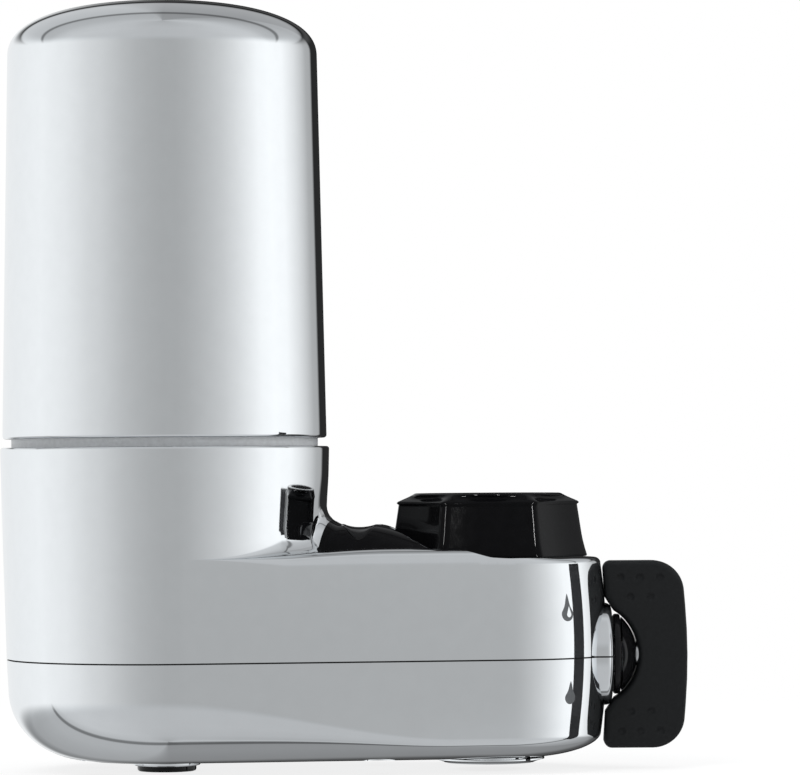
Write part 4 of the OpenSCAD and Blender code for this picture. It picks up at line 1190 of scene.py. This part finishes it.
def smooth_range(tree, value, lo, hi, top=1.0):
    made = node(tree, "ShaderNodeMapRange", interpolation_type="SMOOTHSTEP")
    made.inputs["From Min"].default_value = lo
    made.inputs["From Max"].default_value = hi
    made.inputs["To Max"].default_value = top
    tree.links.new(value, made.inputs["Value"])
    return made.outputs["Result"]


def grey_ramp(tree, angle, stops):
    """Grey level against an angle in radians, from stops in degrees."""
    share = tree.nodes.new("ShaderNodeMapRange")
    share.inputs["From Min"].default_value = -math.pi
    share.inputs["From Max"].default_value = math.pi
    tree.links.new(angle, share.inputs["Value"])
    made = tree.nodes.new("ShaderNodeValToRGB")
    for number, (at, value) in enumerate(stops):
        where = (at + 180) / 360
        if number < 2:
            stop = made.color_ramp.elements[number]
            stop.position = where
        else:
            stop = made.color_ramp.elements.new(where)
        stop.color = (value * 0.985, value, value * 1.01, 1)
    tree.links.new(share.outputs["Result"], made.inputs["Fac"])
    return made.outputs["Color"]


def mixed(tree, factor, a, b, blend="MIX"):
    made = tree.nodes.new("ShaderNodeMix")
    made.data_type = "RGBA"
    made.blend_type = blend
    for key, value in (("Factor", factor), ("A", a), ("B", b)):
        socket = next(s for s in made.inputs if s.name == key and (s.type == "RGBA") == (key != "Factor"))
        if isinstance(value, (int, float, tuple)):
            socket.default_value = value
        else:
            tree.links.new(value, socket)
    return next(s for s in made.outputs if s.type == "RGBA")


# Levels round the studio, from behind by the left, the front and the right
AROUND = [
    (-180, 0.02), (-177, 0.02), (-172, 0.72), (-156, 0.76), (-129, 0.80), (-97, 0.85), (-73, 0.78), (-63, 0.72),
    (-53, 0.65), (-43, 0.60), (-34, 0.535), (-25, 0.475), (-16, 0.43), (-7, 0.40), (2, 0.38), (12, 0.38),
    (19, 0.40), (28, 0.445), (37, 0.50), (46, 0.565), (56, 0.665), (66, 0.78), (77, 0.91), (88, 0.96),
    (102, 0.93), (117, 0.72), (128, 0.54), (136, 0.40), (145, 0.36), (149, 0.02), (180, 0.02),
]
# The same over the top, from behind by the floor, the front and the ceiling
OVER = [
    (-180, 0.10), (-160, 0.25), (-146, 0.60), (-112, 0.72), (-99, 0.72), (-97, 0.30), (-93, 0.30), (-90, 0.80),
    (-78, 0.95), (-60, 1.0), (60, 1.0), (80, 0.92), (98, 0.78), (115, 0.74), (118, 0.32), (121, 0.32), (124, 0.85),
    (150, 0.95), (153, 0.9), (156, 0.02), (180, 0.02),
]


def world():
    """A studio with a grey front, white sides, a dark edge at the right and a dark back."""
    made = bpy.data.worlds.new("studio")
    bpy.context.scene.world = made
    made.use_nodes = True
    tree = made.node_tree
    tree.nodes.clear()
    out = tree.nodes.new("ShaderNodeOutputWorld")
    place = tree.nodes.new("ShaderNodeTexCoord")
    split = tree.nodes.new("ShaderNodeSeparateXYZ")
    tree.links.new(place.outputs["Generated"], split.inputs["Vector"])
    x, z = split.outputs["X"], split.outputs["Z"]
    front = calc(tree, "MULTIPLY", split.outputs["Y"], -1.0)
    steep = calc(tree, "ABSOLUTE", z)
    around = grey_ramp(tree, calc(tree, "ARCTAN2", x, front), AROUND)
    over = grey_ramp(tree, calc(tree, "ARCTAN2", z, front), OVER)
    level = mixed(tree, smooth_range(tree, steep, 0.2, 0.5, 0.75), around, (0.48, 0.48, 0.485, 1.0))
    bars = mixed(tree, smooth_range(tree, steep, 0.2, 0.4), (1.0, 1.0, 1.0, 1.0), over)
    studio = node(tree, "ShaderNodeBackground", Strength=1.25)
    tree.links.new(mixed(tree, 1.0, level, bars, "MULTIPLY"), studio.inputs["Color"])
    white = node(tree, "ShaderNodeBackground", Color=(1, 1, 1, 1), Strength=1.0)
    path = tree.nodes.new("ShaderNodeLightPath")
    blend = tree.nodes.new("ShaderNodeMixShader")
    tree.links.new(path.outputs["Is Camera Ray"], blend.inputs["Fac"])
    tree.links.new(studio.outputs["Background"], blend.inputs[1])
    tree.links.new(white.outputs["Background"], blend.inputs[2])
    tree.links.new(blend.outputs["Shader"], out.inputs["Surface"])


world()


def lamp(name, place, target, size, power):
    data = bpy.data.lights.new(name, "AREA")
    data.shape = "DISK"
    data.size = size
    data.energy = power
    made = bpy.data.objects.new(name, data)
    made.location = place
    made.rotation_mode = "QUATERNION"
    made.rotation_quaternion = (Vector(target) - Vector(place)).to_track_quat("-Z", "Y")
    made.visible_glossy = False
    made.visible_camera = False
    bpy.context.scene.collection.objects.link(made)


def strip(name, place, target, width, height, power, *pieces):
    """A narrow lamp that shows only in the pieces it is linked to."""
    lamp(name, place, target, width, power)
    made = bpy.data.objects[name]
    made.data.shape = "RECTANGLE"
    made.data.size_y = height
    made.visible_glossy = True
    made.visible_diffuse = False
    lit = bpy.data.collections.new(name + "_lit")
    for piece in pieces:
        lit.objects.link(bpy.data.objects[piece])
    made.light_linking.receiver_collection = lit


def card(name, x, y, z0, z1, width):
    """A black card beside the object, which only its reflections show."""
    mesh = bpy.data.meshes.new(name)
    y0, y1 = y - width / 2, y + width / 2
    mesh.from_pydata([(x, y0, z0), (x, y1, z0), (x, y1, z1), (x, y0, z1)], [], [[0, 1, 2, 3]])
    made = bpy.data.objects.new(name, mesh)
    bpy.context.scene.collection.objects.link(made)
    for way in ("camera", "diffuse", "shadow", "transmission", "volume_scatter"):
        setattr(made, "visible_" + way, False)
    mesh.materials.append(seal_rubber)


card("card_right", 0.07, -0.0103, -0.08, 0.003, 0.0165)
strip("strip_right", (0.165, -0.62, 0.03), (0.01, 0, 0), 0.03, 0.5, 8.0, "mounting_collar_body")
strip("strip_left", (-0.21, -0.62, 0.03), (-0.01, 0, 0), 0.03, 0.5, 8.0, "mounting_collar_body")
lamp("key", (-0.5, -0.6, 0.9), (-0.03, 0, 0.02), 0.7, 7)
lamp("fill", (0.8, -0.5, 0.6), (-0.03, 0, 0.02), 0.8, 4)
lamp("top", (0.0, 0.2, 1.1), (-0.03, 0, 0.0), 0.9, 6)
